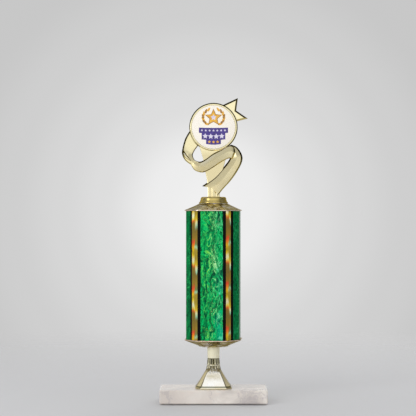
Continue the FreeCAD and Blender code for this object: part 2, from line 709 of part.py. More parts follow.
def figure():
    """The whole figure is one moulding, with a nut pocket and rod hole under it."""
    mass = doc.addObject("Part::MultiFuse", "figure_mass")
    mass.Shapes = [
        figure_base(), figure_stem(), emblem_holder(), figure_star(),
        ribbon_run("ribbon_loop", RIBBON_LOOP), ribbon_run("ribbon_sash", RIBBON_SASH),
        notched_tail(),
    ]
    mass.Refine = False
    socket = new_body("nut_socket")
    hexagonal = new_sketch(socket, "nut_socket_outline")
    hexagon(hexagonal, "Sizes.nut_flats")
    pad(socket, "nut_socket_pad", hexagonal, "Sizes.figure_nut_height")
    hole = new_sketch(socket, "blind_hole_outline")
    circle(hole, "Sizes.rod_hole_radius")
    pad(socket, "blind_hole", hole, "Sizes.rod_hole_in_figure")
    recessed = doc.addObject("Part::Cut", "recessed_figure")
    recessed.Base = mass
    recessed.Tool = emblem_recess()
    whole = doc.addObject("Part::Cut", "figure")
    whole.Base = recessed
    whole.Tool = socket
    place(whole, FIGURE_FOOT)
    return whole


def recess_plate(name, radius, thickness, back):
    """A round plate that stands upright in the recess, its back at a depth."""
    body = new_body(name)
    sketch = new_sketch(body, f"{name}_outline", "XZ_Plane", offset=back)
    circle(sketch, radius, up="Sizes.disc_height")
    pad(body, f"{name}_pad", sketch, thickness)
    place(body, FIGURE_FOOT)
    return body


def figure_group():
    """The moulding with its nut, and the emblem stuck in the recess."""
    nut = hex_nut("figure_nut", "Sizes.figure_nut_height")
    place(nut, FIGURE_FOOT)
    adhesive = recess_plate("emblem_adhesive", "Sizes.adhesive_radius",
                            "Sizes.adhesive_thickness", RECESS_FLOOR)
    emblem = recess_plate("emblem_disc", "Sizes.emblem_radius", "Sizes.emblem_thickness",
                          f"{RECESS_FLOOR} + Sizes.adhesive_thickness")
    return [figure(), nut, adhesive, emblem]


# ---------------------------------------------------------------- build and write
pieces = base_group() + [riser()] + column_group() + figure_group()
doc.recompute()

for item in doc.Objects:
    if "Invalid" in item.State or "Error" in item.State:
        raise RuntimeError(f"{item.Label} failed: {item.State}")

for piece in pieces:
    shape = piece.Shape
    if shape.isNull() or not shape.isValid() or not shape.Solids:
        raise RuntimeError(f"{piece.Label} has no valid solid")
    shape.exportStep(f"parts/{piece.Label}.step")
    box = shape.BoundBox
    print(f"{piece.Label}: {len(shape.Solids)} solid(s), {shape.Volume:.0f} mm3, "
          f"z {box.ZMin:.2f} to {box.ZMax:.2f}")
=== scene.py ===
# Column trophy: the looks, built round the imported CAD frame.
# Lengths in the shape code are millimetres; MM turns them into Blender's metres.
import bmesh
import bpy
import math
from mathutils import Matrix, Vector


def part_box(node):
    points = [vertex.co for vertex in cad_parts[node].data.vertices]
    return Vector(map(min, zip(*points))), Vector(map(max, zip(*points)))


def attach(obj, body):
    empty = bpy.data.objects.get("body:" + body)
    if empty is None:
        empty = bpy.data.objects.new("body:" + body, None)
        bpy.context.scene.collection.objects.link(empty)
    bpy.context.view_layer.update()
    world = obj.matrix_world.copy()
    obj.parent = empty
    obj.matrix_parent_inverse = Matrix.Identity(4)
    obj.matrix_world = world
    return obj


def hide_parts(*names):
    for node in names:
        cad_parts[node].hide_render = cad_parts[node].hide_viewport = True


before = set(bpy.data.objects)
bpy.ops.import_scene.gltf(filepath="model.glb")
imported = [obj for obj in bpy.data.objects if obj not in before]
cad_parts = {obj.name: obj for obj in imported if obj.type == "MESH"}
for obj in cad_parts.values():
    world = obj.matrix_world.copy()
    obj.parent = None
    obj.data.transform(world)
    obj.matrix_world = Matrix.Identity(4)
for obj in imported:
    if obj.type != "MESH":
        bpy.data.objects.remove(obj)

MM = 0.001
FULL_TURN = 2 * math.pi
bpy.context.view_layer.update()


# ------------------------------------------------------------------ places from the frame
def span_mm(node):
    """Lowest and highest corner of a CAD node, in millimetres."""
    low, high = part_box(node)
    return low / MM, high / MM


riser_low, riser_high = span_mm("riser")
foil_low, foil_high = span_mm("column_foil")
figure_low, figure_high = span_mm("figure")
emblem_low, emblem_high = span_mm("emblem_disc")
rod_low, rod_high = span_mm("threaded_rod")

DISC_CENTRE = (emblem_low.z + emblem_high.z) / 2
DISC_RADIUS = 28.3
RIM_PLANE_LOW = foil_low.z + 1.5
RIM_PLANE_HIGH = foil_high.z - 1.5
LID_HEIGHT = 9.0
COLUMN_TWIST = math.radians(-4)
COLUMN_HALF = 30.85
COLUMN_CORNER = 14.4
CORNER_GROWTH = 2 - math.sqrt(2)
ROD_HOLE = 3.25

# Heights on the riser above its foot.
LIP_TOP = 1.1
BEVEL_TOP = 2.3
NECK_FOOT = 20.4
BEAD_CENTRE = 26.5
NECK_TOP = 33.9


# ------------------------------------------------------------------ node materials
class Value:
    """An output in a node tree; arithmetic on it adds maths nodes."""

    def __init__(self, shader, socket):
        self.shader = shader
        self.socket = socket

    def __add__(self, other):
        return self.shader.math("ADD", self, other)

    def __sub__(self, other):
        return self.shader.math("SUBTRACT", self, other)

    def __rsub__(self, other):
        return self.shader.math("SUBTRACT", other, self)

    def __mul__(self, other):
        return self.shader.math("MULTIPLY", self, other)

    def __truediv__(self, other):
        return self.shader.math("DIVIDE", self, other)

    def __abs__(self):
        return self.shader.math("ABSOLUTE", self)


class Shader:
    """The node tree of a material or world, with short calls for its nodes."""

    def __init__(self, owner):
        owner.use_nodes = True
        self.owner = owner
        self.tree = owner.node_tree
        self.surface = self.tree.nodes.get("Principled BSDF")

    def feed(self, socket, value):
        """Set an input to a number or colour, or link it to an output."""
        if isinstance(value, Value):
            self.tree.links.new(value.socket, socket)
        elif socket.type == "RGBA":
            socket.default_value = (*value, 1)
        else:
            socket.default_value = value

    def add(self, kind, result, inputs, **settings):
        """Add a node with its settings and inputs, and return one of its outputs."""
        made = self.tree.nodes.new(kind)
        for key, value in settings.items():
            setattr(made, key, value)
        for key, value in inputs.items():
            self.feed(made.inputs[key], value)
        return Value(self, made.outputs[result])

    def math(self, operation, first, second=0.0):
        return self.add("ShaderNodeMath", 0, {0: first, 1: second}, operation=operation)

    def squares(self, first, second):
        return self.math("POWER", first, 2.0) + self.math("POWER", second, 2.0)

    def mix(self, share, first, second, blend="MIX"):
        inputs = {"Factor": share, "A": first, "B": second}
        return self.add("ShaderNodeMix", "Result", inputs, data_type="RGBA", blend_type=blend)

    def coordinate(self, kind):
        return self.add("ShaderNodeTexCoord", kind, {})

    def place(self):
        """The rest position of a point, in metres, whatever the pose."""
        return self.coordinate("Object")

    def axes(self, vector):
        """The three parts of a vector."""
        first = self.add("ShaderNodeSeparateXYZ", 0, {0: vector})
        return [Value(self, socket) for socket in first.socket.node.outputs]

    def height(self):
        """The rest height of a point, in millimetres."""
        return self.axes(self.place())[2] / MM

    def stretch(self, vector, scale, turn=(0, 0, 0), move=(0, 0, 0)):
        inputs = {"Scale": scale, "Rotation": turn, "Location": move, "Vector": vector}
        return self.add("ShaderNodeMapping", "Vector", inputs)

    def noise(self, vector, scale, detail=2.0, rough=0.5, warp=0.0, result="Fac"):
        inputs = {"Vector": vector, "Scale": scale, "Detail": detail, "Roughness": rough, "Distortion": warp}
        return self.add("ShaderNodeTexNoise", result, inputs)

    def ramp(self, share, stops, ease="LINEAR"):
        """A colour ramp; each stop is (position, colour)."""
        colour = self.add("ShaderNodeValToRGB", "Color", {"Fac": share})
        scale = colour.socket.node.color_ramp
        scale.interpolation = ease
        while len(scale.elements) < len(stops):
            scale.elements.new(0.5)
        for mark, (position, paint) in zip(scale.elements, stops):
            mark.position = position
            mark.color = (*paint, 1)
        return colour

    def span(self, value, low, high, to_low=0.0, to_high=1.0):
        """Map a range to another, clamped."""
        inputs = {"Value": value, "From Min": low, "From Max": high, "To Min": to_low, "To Max": to_high}
        return self.add("ShaderNodeMapRange", "Result", inputs)

    def within(self, value, low, high, blur):
        """One between two values, fading to nought over the blur on both sides."""
        return self.span(value, low - blur, low + blur) * self.span(value, high - blur, high + blur, 1.0, 0.0)

    def thread(self, value, centre, width, peak):
        """A fine line where a noise passes the centre value."""
        return self.span(abs(value - centre), *width, peak, 0.0)

    def bump(self, relief, distance, strength=1.0):
        inputs = {"Strength": strength, "Distance": distance, "Height": relief}
        self.set(Normal=self.add("ShaderNodeBump", "Normal", inputs))

    def set(self, **inputs):
        """Principled inputs by name, with underscores for spaces."""
        for key, value in inputs.items():
            self.feed(self.surface.inputs[key.replace("_", " ")], value)

    def present(self, name):
        """The output that feeds a Principled input at present."""
        return Value(self, self.surface.inputs[name].links[0].from_socket)

    def paint(self, share, colour):
        """Mix a colour over the present base colour."""
        self.set(Base_Color=self.mix(share, self.present("Base Color"), colour))

    def roughen(self, share, roughness):
        """Mix another roughness over the present one."""
        self.set(Roughness=self.present("Roughness") * (1.0 - share) + share * roughness)


def new_shader(name):
    return Shader(bpy.data.materials.new(name))


def gold_metal(name, colour, roughness, grain, wave):
    """Pale metallised plastic: slight tint drift, fine grain and broad waves."""
    shader = new_shader(name)
    place = shader.place()
    warm = tuple(channel * factor for channel, factor in zip(colour, (0.95, 0.90, 0.78)))
    tint = shader.mix(shader.span(shader.noise(place, 55, 3, 0.6), 0.35, 0.7), colour, warm)
    specks = shader.noise(place, 900, 2, 0.6)
    rough = shader.span(specks, 0.3, 0.7, roughness * 0.85, roughness * 1.2)
    shader.set(Base_Color=tint, Metallic=1.0, Roughness=rough, Specular_Tint=(0.42, 0.36, 0.20))
    broad = shader.noise(place, 95, 3, 0.5, 0.6)
    peel = shader.noise(place, 420, 3, 0.6)
    shader.bump(broad * wave + peel * grain, MM)
    return shader


def riser_gold():
    """Bright pyramid, fluted neck with painted dark reflections and a painted highlight on its bead, satin
    collar, and a painted shade line above the foot's lip.
    """
    shader = gold_metal("riser_gold", (0.83, 0.74, 0.47), 0.15, 0.02, 0.12)
    height = shader.height() - riser_low.z
    # Painted shade: the fluted neck is darkened, most above the bead, with a ragged lower end.
    ragged = shader.noise(shader.stretch(shader.place(), (1, 1, 0.12)), 700, 2, 0.5)
    frayed = height + (ragged - 0.5) * 9.0
    below_collar = shader.span(height, NECK_TOP + 0.4, NECK_TOP + 1.1, 1.0, 0.0)
    neck = shader.span(frayed, NECK_FOOT - 3.6, NECK_FOOT + 0.1) * below_collar
    above_bead = shader.span(height, BEAD_CENTRE - 0.5, BEAD_CENTRE + 2.5)
    shader.paint(neck * 0.95, shader.mix(above_bead, (0.44, 0.41, 0.29), (0.20, 0.19, 0.13)))
    # Painted highlight: a pale band round the bead.
    shader.paint(shader.within(height, BEAD_CENTRE - 1.0, BEAD_CENTRE + 1.1, 0.3), (1.0, 0.98, 0.78))
    collar = shader.span(height, NECK_TOP + 0.5, NECK_TOP + 1.0)
    shader.paint(collar, (1.0, 0.96, 0.73))
    shader.roughen(collar, 0.5)
    shader.set(Metallic=1.0 - collar * 0.7)
    # Painted shade: a dark line on the bevel above the foot's lip, where a recess would lie in shade.
    seam_shade = shader.within(height, LIP_TOP + 0.6, BEVEL_TOP + 0.8, 0.3)
    shader.paint(seam_shade * 0.95, (0.13, 0.115, 0.03))
    return shader.owner


def lid_gold():
    """Khaki gold under painted reflections: uneven dark streaks, pale violet and brown, with a painted
    pinkish highlight on the rim.
    """
    shader = gold_metal("lid_gold", (0.84, 0.79, 0.56), 0.14, 0.03, 0.6)
    place = shader.place()
    across, along, rise = shader.axes(place)
    angle = shader.math("ARCTAN2", along, across)
    reach = shader.math("SQRT", shader.squares(across, along))
    around = shader.add("ShaderNodeCombineXYZ", 0, {"X": angle * 0.012, "Y": reach})
    streaks = shader.noise(around, 330, 3, 0.55, 1.2)
    patches = shader.noise(shader.stretch(place, (1, 1, 2.5)), 115, 3, 0.55, 0.8)
    # Painted reflections: dark streaks round the axis, pale violet-white patches and brown patches.
    shader.paint(shader.span(streaks, 0.50, 0.56, 0.0, 0.85), (0.24, 0.21, 0.11))
    shader.paint(shader.span(patches, 0.52, 0.57, 0.0, 0.9), (1.0, 0.97, 1.0))
    shader.paint(shader.span(patches, 0.44, 0.38, 0.0, 0.75), (0.44, 0.34, 0.22))
    height = rise / MM
    # Painted highlight: a pinkish line along each rim.
    low_rim_highlight = shader.within(height, RIM_PLANE_LOW - 0.9, RIM_PLANE_LOW + 0.1, 0.1)
    high_rim_highlight = shader.within(height, RIM_PLANE_HIGH - 0.1, RIM_PLANE_HIGH + 0.9, 0.1)
    shader.paint(low_rim_highlight + high_rim_highlight, (0.95, 0.74, 0.62))
    return shader.owner


def shade_walls(shader, height):
    """Paint dark reflections onto the moulding's sloping side walls: olive above and beside, golden below."""
    along, rise = shader.axes(shader.coordinate("Normal"))[1:]
    front = abs(along)
    wall = shader.span(front, 0.90, 0.80) * shader.span(front, 0.08, 0.25)
    colour = shader.ramp(shader.span(rise, -0.75, 0.75), [
        (0.0, (0.84, 0.68, 0.26)), (0.28, (0.40, 0.32, 0.075)), (0.5, (0.15, 0.12, 0.022)),
        (1.0, (0.14, 0.115, 0.02)),
    ])
    shader.paint(wall * shader.math("GREATER_THAN", height, 9), colour)


def shade_rim(shader):
    """Paint light and dark reflections onto the holder's sloping edge by its place round the disc."""
    across, along, rise = shader.axes(shader.place())
    up = rise - DISC_CENTRE * MM
    reach = shader.math("SQRT", shader.squares(across, up)) / MM
    slope = shader.span(reach, 26.9, 27.2) * shader.span(reach, 28.5, 28.6, 1.0, 0.0)
    ahead = shader.math("LESS_THAN", along, -2.0 * MM)
    turn = shader.span(shader.math("ARCTAN2", up, across), -math.pi, math.pi)
    colour = shader.ramp(turn, [
        (0.00, (0.42, 0.35, 0.11)), (0.10, (0.80, 0.70, 0.38)), (0.32, (0.88, 0.78, 0.46)),
        (0.38, (0.20, 0.165, 0.04)), (0.45, (0.24, 0.20, 0.05)), (0.51, (0.84, 0.74, 0.42)),
        (0.60, (0.78, 0.68, 0.36)), (0.68, (0.24, 0.20, 0.05)), (0.90, (0.15, 0.125, 0.025)),
        (1.00, (0.42, 0.35, 0.11)),
    ])
    shader.paint(slope * ahead, colour)


def figure_gold():
    """Pale gold figure with painted dark reflections on its walls and the holder's edge, painted shade on low
    forward-facing flat faces, and a deeper, glossier round base.
    """
    shader = gold_metal("figure_gold", (0.91, 0.81, 0.50), 0.17, 0.004, 0.07)
    height = shader.height() - figure_low.z
    shader.paint(shader.span(height, 42, 58), (0.87, 0.785, 0.49))
    shader.paint(shader.span(height, 88, 100), (0.92, 0.84, 0.53))
    # Painted shade: flat faces that face straight forward, low on the figure, are darkened.
    flat = shader.span(shader.axes(shader.coordinate("Normal"))[1], -0.985, -0.995)
    low = shader.span(height, 56, 62, 1.0, 0.0)
    shader.paint(flat * low, (0.74, 0.65, 0.39))
    # Painted dark reflections on the sloping walls, light and dark ones on the holder's edge.
    shade_walls(shader, height)
    shade_rim(shader)
    base = shader.span(height, 7.2, 8.0, 1.0, 0.0)
    shader.paint(base, (0.64, 0.50, 0.17))
    shader.roughen(base, 0.11)
    return shader.owner


def marble():
    """Pale pinkish-white polished stone with soft clouds and thin grey-violet veins."""
    shader = new_shader("marble")
    place = shader.place()
    cloud = shader.noise(place, 26, 5, 0.6, 0.6)
    body = shader.ramp(cloud, [
        (0.30, (0.66, 0.60, 0.55)), (0.50, (0.78, 0.72, 0.66)), (0.72, (0.86, 0.81, 0.75)),
    ])
    rightwards = shader.span(shader.axes(place)[0], 0.000, 0.022)
    greyer = rightwards * shader.span(cloud, 0.62, 0.45, 0.0, 0.55)
    body = shader.mix(greyer, body, (0.52, 0.49, 0.47))
    bent = shader.mix(0.12, place, shader.noise(place, 22, 4, 0.6, result="Color"), "ADD")
    veins = shader.noise(shader.stretch(bent, (1.0, 1.0, 1.6), (0.2, 0.5, 0.3)), 16, 6, 0.62, 0.4)
    veined = shader.mix(shader.thread(veins, 0.5, (0.0, 0.035), 0.42), body, (0.42, 0.38, 0.41))
    shader.set(Base_Color=veined, Roughness=shader.span(cloud, 0.3, 0.7, 0.16, 0.3),
               Subsurface_Weight=0.12, Subsurface_Scale=0.004, Subsurface_Radius=(1.0, 0.8, 0.7))
    shader.bump(shader.noise(place, 300, 4, 0.6), 0.02 * MM, 0.4)
    return shader.owner


def green_foil():
    """Metallised film with upright marbled wisps, yellowish left of the middle, paler right of it;
    where it is seen at a slant the film is painted darker and plainer, as painted shade."""
    shader = new_shader("green_foil")
    place = shader.place()
    across, rise = shader.axes(place)[::2]
    bend = shader.noise(shader.stretch(place, (1, 1, 0.55)), 75, 3, 0.6, result="Color")
    bent = shader.mix(0.016, place, bend, "ADD")
    upright = shader.stretch(bent, (1.0, 1.0, 0.30))
    broad = shader.noise(upright, 96, 3, 0.5, 2.6)
    fine = shader.noise(upright, 250, 3, 0.55, 2.2)
    body = shader.ramp(broad, [
        (0.34, (0.000, 0.080, 0.030)), (0.42, (0.000, 0.210, 0.058)), (0.49, (0.000, 0.400, 0.092)),
        (0.56, (0.000, 0.600, 0.150)), (0.62, (0.000, 0.310, 0.084)), (0.70, (0.000, 0.100, 0.036)),
    ])
    dark_threads = shader.thread(fine, 0.44, (0.006, 0.045), 0.9)
    body = shader.mix(dark_threads, body, (0.000, 0.055, 0.026))
    low_right = shader.span(rise, 0.160, 0.100) * shader.thread(across, 0.013, (0.003, 0.014), 0.7)
    teal_spots = shader.span(shader.noise(upright, 90, 2, 0.5), 0.46, 0.56)
    body = shader.mix(low_right * teal_spots, body, (0.0, 0.42, 0.26))
    pale = shader.ramp(shader.span(across, -0.016, 0.016), [
        (0.0, (0.02, 0.66, 0.10)), (0.30, (0.32, 0.85, 0.08)), (0.50, (0.62, 1.00, 0.42)),
        (0.72, (0.30, 0.95, 0.50)), (1.0, (0.05, 0.62, 0.28)),
    ])
    broken = shader.span(shader.noise(shader.stretch(bent, (1, 1, 0.45)), 85, 2, 0.5), 0.47, 0.56)
    wisps = shader.thread(broad, 0.535, (0.003, 0.022), 1.0) * broken
    elsewhere = shader.span(shader.noise(place, 70, 2, 0.5), 0.44, 0.60, 0.15, 1.0)
    fine_wisps = shader.thread(fine, 0.55, (0.003, 0.022), 0.75) * elsewhere
    lit = shader.mix(fine_wisps, body, pale)
    lit = shader.mix(wisps, lit, pale)
    spots = shader.noise(shader.stretch(bent, (1, 1, 0.6), move=(3.1, 0, 1.7)), 210, 1, 0.3)
    blobs = shader.span(spots, 0.66, 0.70, 0.0, 0.85) * shader.within(across, 0.004, 0.015, 0.003)
    lit = shader.mix(blobs, lit, (0.10, 0.72, 0.40))
    # Painted shade: faces seen at a slant get a darker, plainer green.
    slant = shader.span(shader.add("ShaderNodeLayerWeight", "Facing", {}), 0.13, 0.27, 0.0, 0.80)
    slant_shade_colour = shader.mix(dark_threads, (0.000, 0.130, 0.036), (0.000, 0.026, 0.008))
    slant_shade_colour = shader.mix(wisps, slant_shade_colour, (0.02, 0.34, 0.09))
    lit = shader.mix(slant, lit, slant_shade_colour)
    shader.set(Base_Color=lit, Metallic=0.0, Roughness=0.36, Specular_IOR_Level=0.05)
    shader.bump(broad, 0.06 * MM, 0.6)
    return shader.owner


TAPE_PERIOD = 0.0520
TAPE_GOLD_WIDTH = 9.0 * MM


def prism_gold():
    """Prismatic gold tape: two bands of long flashes that end in red and pale green."""
    shader = new_shader("prism_gold")
    turned = shader.stretch(shader.place(), (1, 1, 1), (0, 0, -COLUMN_TWIST))
    across, along, rise = shader.axes(turned)
    fold_distance = (abs(across) - abs(along) + COLUMN_CORNER * MM) * math.sqrt(0.5)
    on_right = shader.math("GREATER_THAN", across, 0.0)
    on_left = 1.0 - on_right
    from_fold = fold_distance / TAPE_GOLD_WIDTH
    share = on_right * (1.0 - from_fold) + on_left * from_fold
    streaks = shader.noise(shader.stretch(turned, (1, 1, 0.05)), 950, 2, 0.6)
    wobble = (streaks - 0.5) * 0.24
    period = on_right * 0.086 + rise / -TAPE_PERIOD + wobble
    outer = shader.ramp(shader.math("FRACT", period + 0.61), [
        (0.00, (0.90, 0.06, 0.03)), (0.07, (1.00, 0.24, 0.02)), (0.15, (1.00, 0.60, 0.01)),
        (0.24, (0.52, 0.37, 0.02)), (0.31, (1.00, 0.70, 0.02)), (0.41, (1.00, 1.00, 0.66)),
        (0.48, (1.00, 0.86, 0.10)), (0.525, (0.98, 0.12, 0.03)), (0.57, (0.30, 0.18, 0.03)),
        (0.74, (0.22, 0.16, 0.03)), (0.93, (0.36, 0.20, 0.02)), (1.00, (0.90, 0.06, 0.03)),
    ])
    inner = shader.ramp(shader.math("FRACT", period + 0.55), [
        (0.00, (0.20, 0.26, 0.08)), (0.05, (0.45, 0.85, 0.50)), (0.10, (0.45, 0.33, 0.04)),
        (0.30, (0.42, 0.31, 0.03)), (0.46, (0.85, 0.60, 0.03)), (0.52, (1.00, 0.96, 0.50)),
        (0.60, (0.35, 0.75, 0.50)), (0.66, (0.22, 0.16, 0.03)), (0.85, (0.36, 0.24, 0.03)),
        (1.00, (0.20, 0.26, 0.08)),
    ])
    border = shader.math("SINE", (period + 0.61) * FULL_TURN) * 0.16 + 0.48
    side = share - border + wobble * 1.5
    lit = shader.mix(shader.span(side, -0.06, 0.06), inner, outer)
    threads = shader.noise(shader.stretch(turned, (1, 1, 0.02)), 1700, 2, 0.6)
    lit = shader.mix(shader.span(threads, 0.47, 0.66, 0.0, 0.55), lit, (0.22, 0.11, 0.01))
    lit = shader.mix(on_left * 0.14, lit, (0.03, 0.06, 0.0))
    shader.set(Base_Color=lit, Metallic=0.0, Roughness=0.34, Specular_IOR_Level=0.15)
    shader.bump(threads, 0.02 * MM, 0.5)
    return shader.owner


def black_border():
    """Glossy black print with a faint green cast and tiny pinholes."""
    shader = new_shader("black_border")
    specks = shader.noise(shader.place(), 1500, 2, 0.6)
    colour = shader.mix(shader.span(specks, 0.62, 0.8), (0.001, 0.001, 0.001), (0.008, 0.012, 0.008))
    shader.set(Base_Color=colour, Roughness=shader.span(specks, 0.3, 0.7, 0.3, 0.44),
               Specular_IOR_Level=0.08)
    return shader.owner


def felt():
    """Pale matted fibres."""
    shader = new_shader("felt")
    fibres = shader.noise(shader.place(), 1400, 6, 0.75, 2.0)
    colour = shader.mix(fibres, (0.36, 0.35, 0.34), (0.56, 0.55, 0.53))
    shader.set(Base_Color=colour, Roughness=0.95, Sheen_Weight=0.4)
    shader.bump(fibres, 0.25 * MM, 0.9)
    return shader.owner


def plated_steel():
    """Zinc plate: cloudy grey with fine turning marks."""
    shader = new_shader("plated_steel")
    place = shader.place()
    colour = shader.mix(shader.noise(place, 260, 4, 0.6), (0.38, 0.38, 0.36), (0.62, 0.62, 0.60))
    marks = shader.noise(shader.stretch(place, (1, 1, 14)), 300, 3, 0.6)
    shader.set(Base_Color=colour, Metallic=1.0, Roughness=shader.span(marks, 0.3, 0.7, 0.25, 0.48))
    shader.bump(marks, 0.02 * MM, 0.5)
    return shader.owner


def plain_plastic():
    """White moulded tube inside the column."""
    shader = new_shader("tube_plastic")
    place = shader.place()
    colour = shader.mix(shader.noise(place, 60, 3, 0.5), (0.62, 0.61, 0.57), (0.70, 0.69, 0.65))
    shader.set(Base_Color=colour, Roughness=0.55)
    shader.bump(shader.noise(place, 900, 3, 0.6), 0.03 * MM, 0.5)
    return shader.owner


def foam_adhesive():
    """White closed-cell foam tape."""
    shader = new_shader("foam_adhesive")
    cells = shader.add("ShaderNodeTexVoronoi", "Distance", {"Vector": shader.place(), "Scale": 2200})
    shader.set(Base_Color=shader.mix(cells, (0.80, 0.79, 0.75), (0.62, 0.61, 0.58)), Roughness=0.85)
    shader.bump(cells, 0.05 * MM, 0.5)
    return shader.owner


def ivory_print():
    """Ivory emblem stock with slight tint drift under a thin gloss coat."""
    shader = new_shader("ivory_print")
    place = shader.place()
    colour = shader.mix(shader.noise(place, 70, 3, 0.5), (0.96, 0.90, 0.80), (1.0, 0.95, 0.85))
    shader.set(Base_Color=colour, Roughness=0.42, Coat_Weight=0.2, Coat_Roughness=0.2)
    shader.bump(shader.noise(place, 1200, 2, 0.5), 0.01 * MM, 0.4)
    return shader.owner


def ink(name, light, dark):
    """Printed colour that drifts between two tones."""
    shader = new_shader(name)
    drift = shader.span(shader.noise(shader.place(), 260, 2, 0.5), 0.35, 0.65)
    shader.set(Base_Color=shader.mix(drift, light, dark), Roughness=0.35, Coat_Weight=0.5,
               Coat_Roughness=0.12)
    return shader.owner


# ------------------------------------------------------------------ meshes
def new_object(name, data):
    made = bpy.data.objects.new(name, data)
    bpy.context.scene.collection.objects.link(made)
    return made


def new_piece(name, points, faces, materials, marks=None, flat=False):
    """An object from millimetre points; marks gives each face's material number."""
    mesh = bpy.data.meshes.new(name)
    mesh.from_pydata([Vector(point) * MM for point in points], [], faces)
    for material in materials:
        mesh.materials.append(material)
    if marks:
        mesh.polygons.foreach_set("material_index", marks)
    piece = new_object(name, mesh)
    tidy_mesh(piece)
    if not flat:
        soften(piece)
    return piece


def tidy_mesh(piece):
    """Weld doubled points and point every face outwards."""
    work = bmesh.new()
    work.from_mesh(piece.data)
    bmesh.ops.remove_doubles(work, verts=work.verts, dist=0.0005 * MM)
    bmesh.ops.recalc_face_normals(work, faces=work.faces)
    work.to_mesh(piece.data)
    work.free()


def soften(piece, angle=32):
    """Smooth shading that keeps edges sharper than the angle."""
    piece.data.shade_smooth()
    piece.data.set_sharp_from_angle(angle=math.radians(angle))


def combine(first, second, operation):
    """Boolean of two closed pieces; the second is used up."""
    modifier = first.modifiers.new("combine", "BOOLEAN")
    modifier.object = second
    modifier.operation = operation
    modifier.solver = "EXACT"
    evaluated = first.evaluated_get(bpy.context.evaluated_depsgraph_get())
    used = first.data
    joined = bpy.data.meshes.new_from_object(evaluated)
    first.modifiers.clear()
    first.data = joined
    bpy.data.meshes.remove(used)
    bpy.data.objects.remove(second)


def bridge(rings, closed=False):
    """Quads between rings of equal length; closed joins the last ring to the first."""
    count = len(rings[0])
    points = [point for ring in rings for point in ring]
    faces = []
    for row in range(len(rings) if closed else len(rings) - 1):
        here = row * count
        there = ((row + 1) % len(rings)) * count
        for step in range(count):
            after = (step + 1) % count
            faces.append((here + step, here + after, there + after, there + step))
    return points, faces


def capped(rings):
    """Bridged rings with a flat cap on both ends."""
    points, faces = bridge(rings)
    count = len(rings[0])
    faces.append(tuple(range(count)))
    faces.append(tuple(len(points) - count + step for step in range(count)))
    return points, faces


def capped_piece(name, rings, material, flat=False):
    points, faces = capped(rings)
    return new_piece(name, points, faces, [material], flat=flat)


RING_STEPS = 288
CRISP_EDGE = 150
SOFT_EDGE = 60


def shares(steps, first=0):
    """Evenly spaced numbers up to one, from nought, or after it when first is 1."""
    return [step / steps for step in range(first, steps + 1)]


def circle(radius, sides):
    """Evenly spaced points of a flat circle."""
    angles = [FULL_TURN * side / sides for side in range(sides)]
    return [(radius * math.cos(angle), radius * math.sin(angle)) for angle in angles]


def round_reach(radius):
    """Reach of a circle at every angle."""
    return lambda angle: radius


def square_reach(half, corner, crispness=CRISP_EDGE):
    """Reach of a chamfered square at an angle; lower crispness rounds its edges more."""
    diagonal = (2 * half - corner) / math.sqrt(2)

    def reach(angle):
        total = 0.0
        for turn, distance in ((0, half), (0.25, diagonal), (0.5, half), (0.75, diagonal)):
            share = abs(math.cos(angle - turn * math.pi)) / distance
            total += (share * half) ** crispness
        return half * total ** (-1 / crispness)

    return reach


def mixed_reach(first, second, share):
    return lambda angle: first(angle) * (1 - share) + second(angle) * share


def closed_piece(name, rings, material):
    points, faces = bridge(rings, closed=True)
    return new_piece(name, points, faces, [material])


def turned_piece(name, levels, material, turn=0.0):
    """A closed shell from (height, reach) levels that run out, up, in and back down."""
    rings = []
    for height, reach in levels:
        ring = []
        for step in range(RING_STEPS):
            angle = FULL_TURN * step / RING_STEPS
            distance = reach(angle)
            angle += turn
            ring.append((distance * math.cos(angle), distance * math.sin(angle), height))
        rings.append(ring)
    return closed_piece(name, rings, material)


def path_through(stations, steps):
    """Catmull-Rom samples through stations, each a tuple of numbers."""
    count = len(stations) - 1
    samples = []
    for way in shares(steps):
        index = min(int(way * count), count - 1)
        share = way * count - index
        near = [stations[min(max(index + offset, 0), count)] for offset in (-1, 0, 1, 2)]
        sample = []
        for p, q, r, s in zip(*near):
            curve = (2 * q + (r - p) * share + (2 * p - 5 * q + 4 * r - s) * share ** 2
                     + (3 * q - p - 3 * r + s) * share ** 3)
            sample.append(curve / 2)
        samples.append(tuple(sample))
    return samples


# ------------------------------------------------------------------ riser
FLUTES = 16
FLUTE_DEPTH = 1.15


def fluted(radius):
    """Round with V-shaped flutes between slightly blunt ribs."""
    return lambda angle: radius - FLUTE_DEPTH * abs(math.sin(FLUTES * angle / 2)) ** 0.9


def foot_square(growth):
    return square_reach(21.1 + growth, 6.0 + CORNER_GROWTH * growth, SOFT_EDGE)


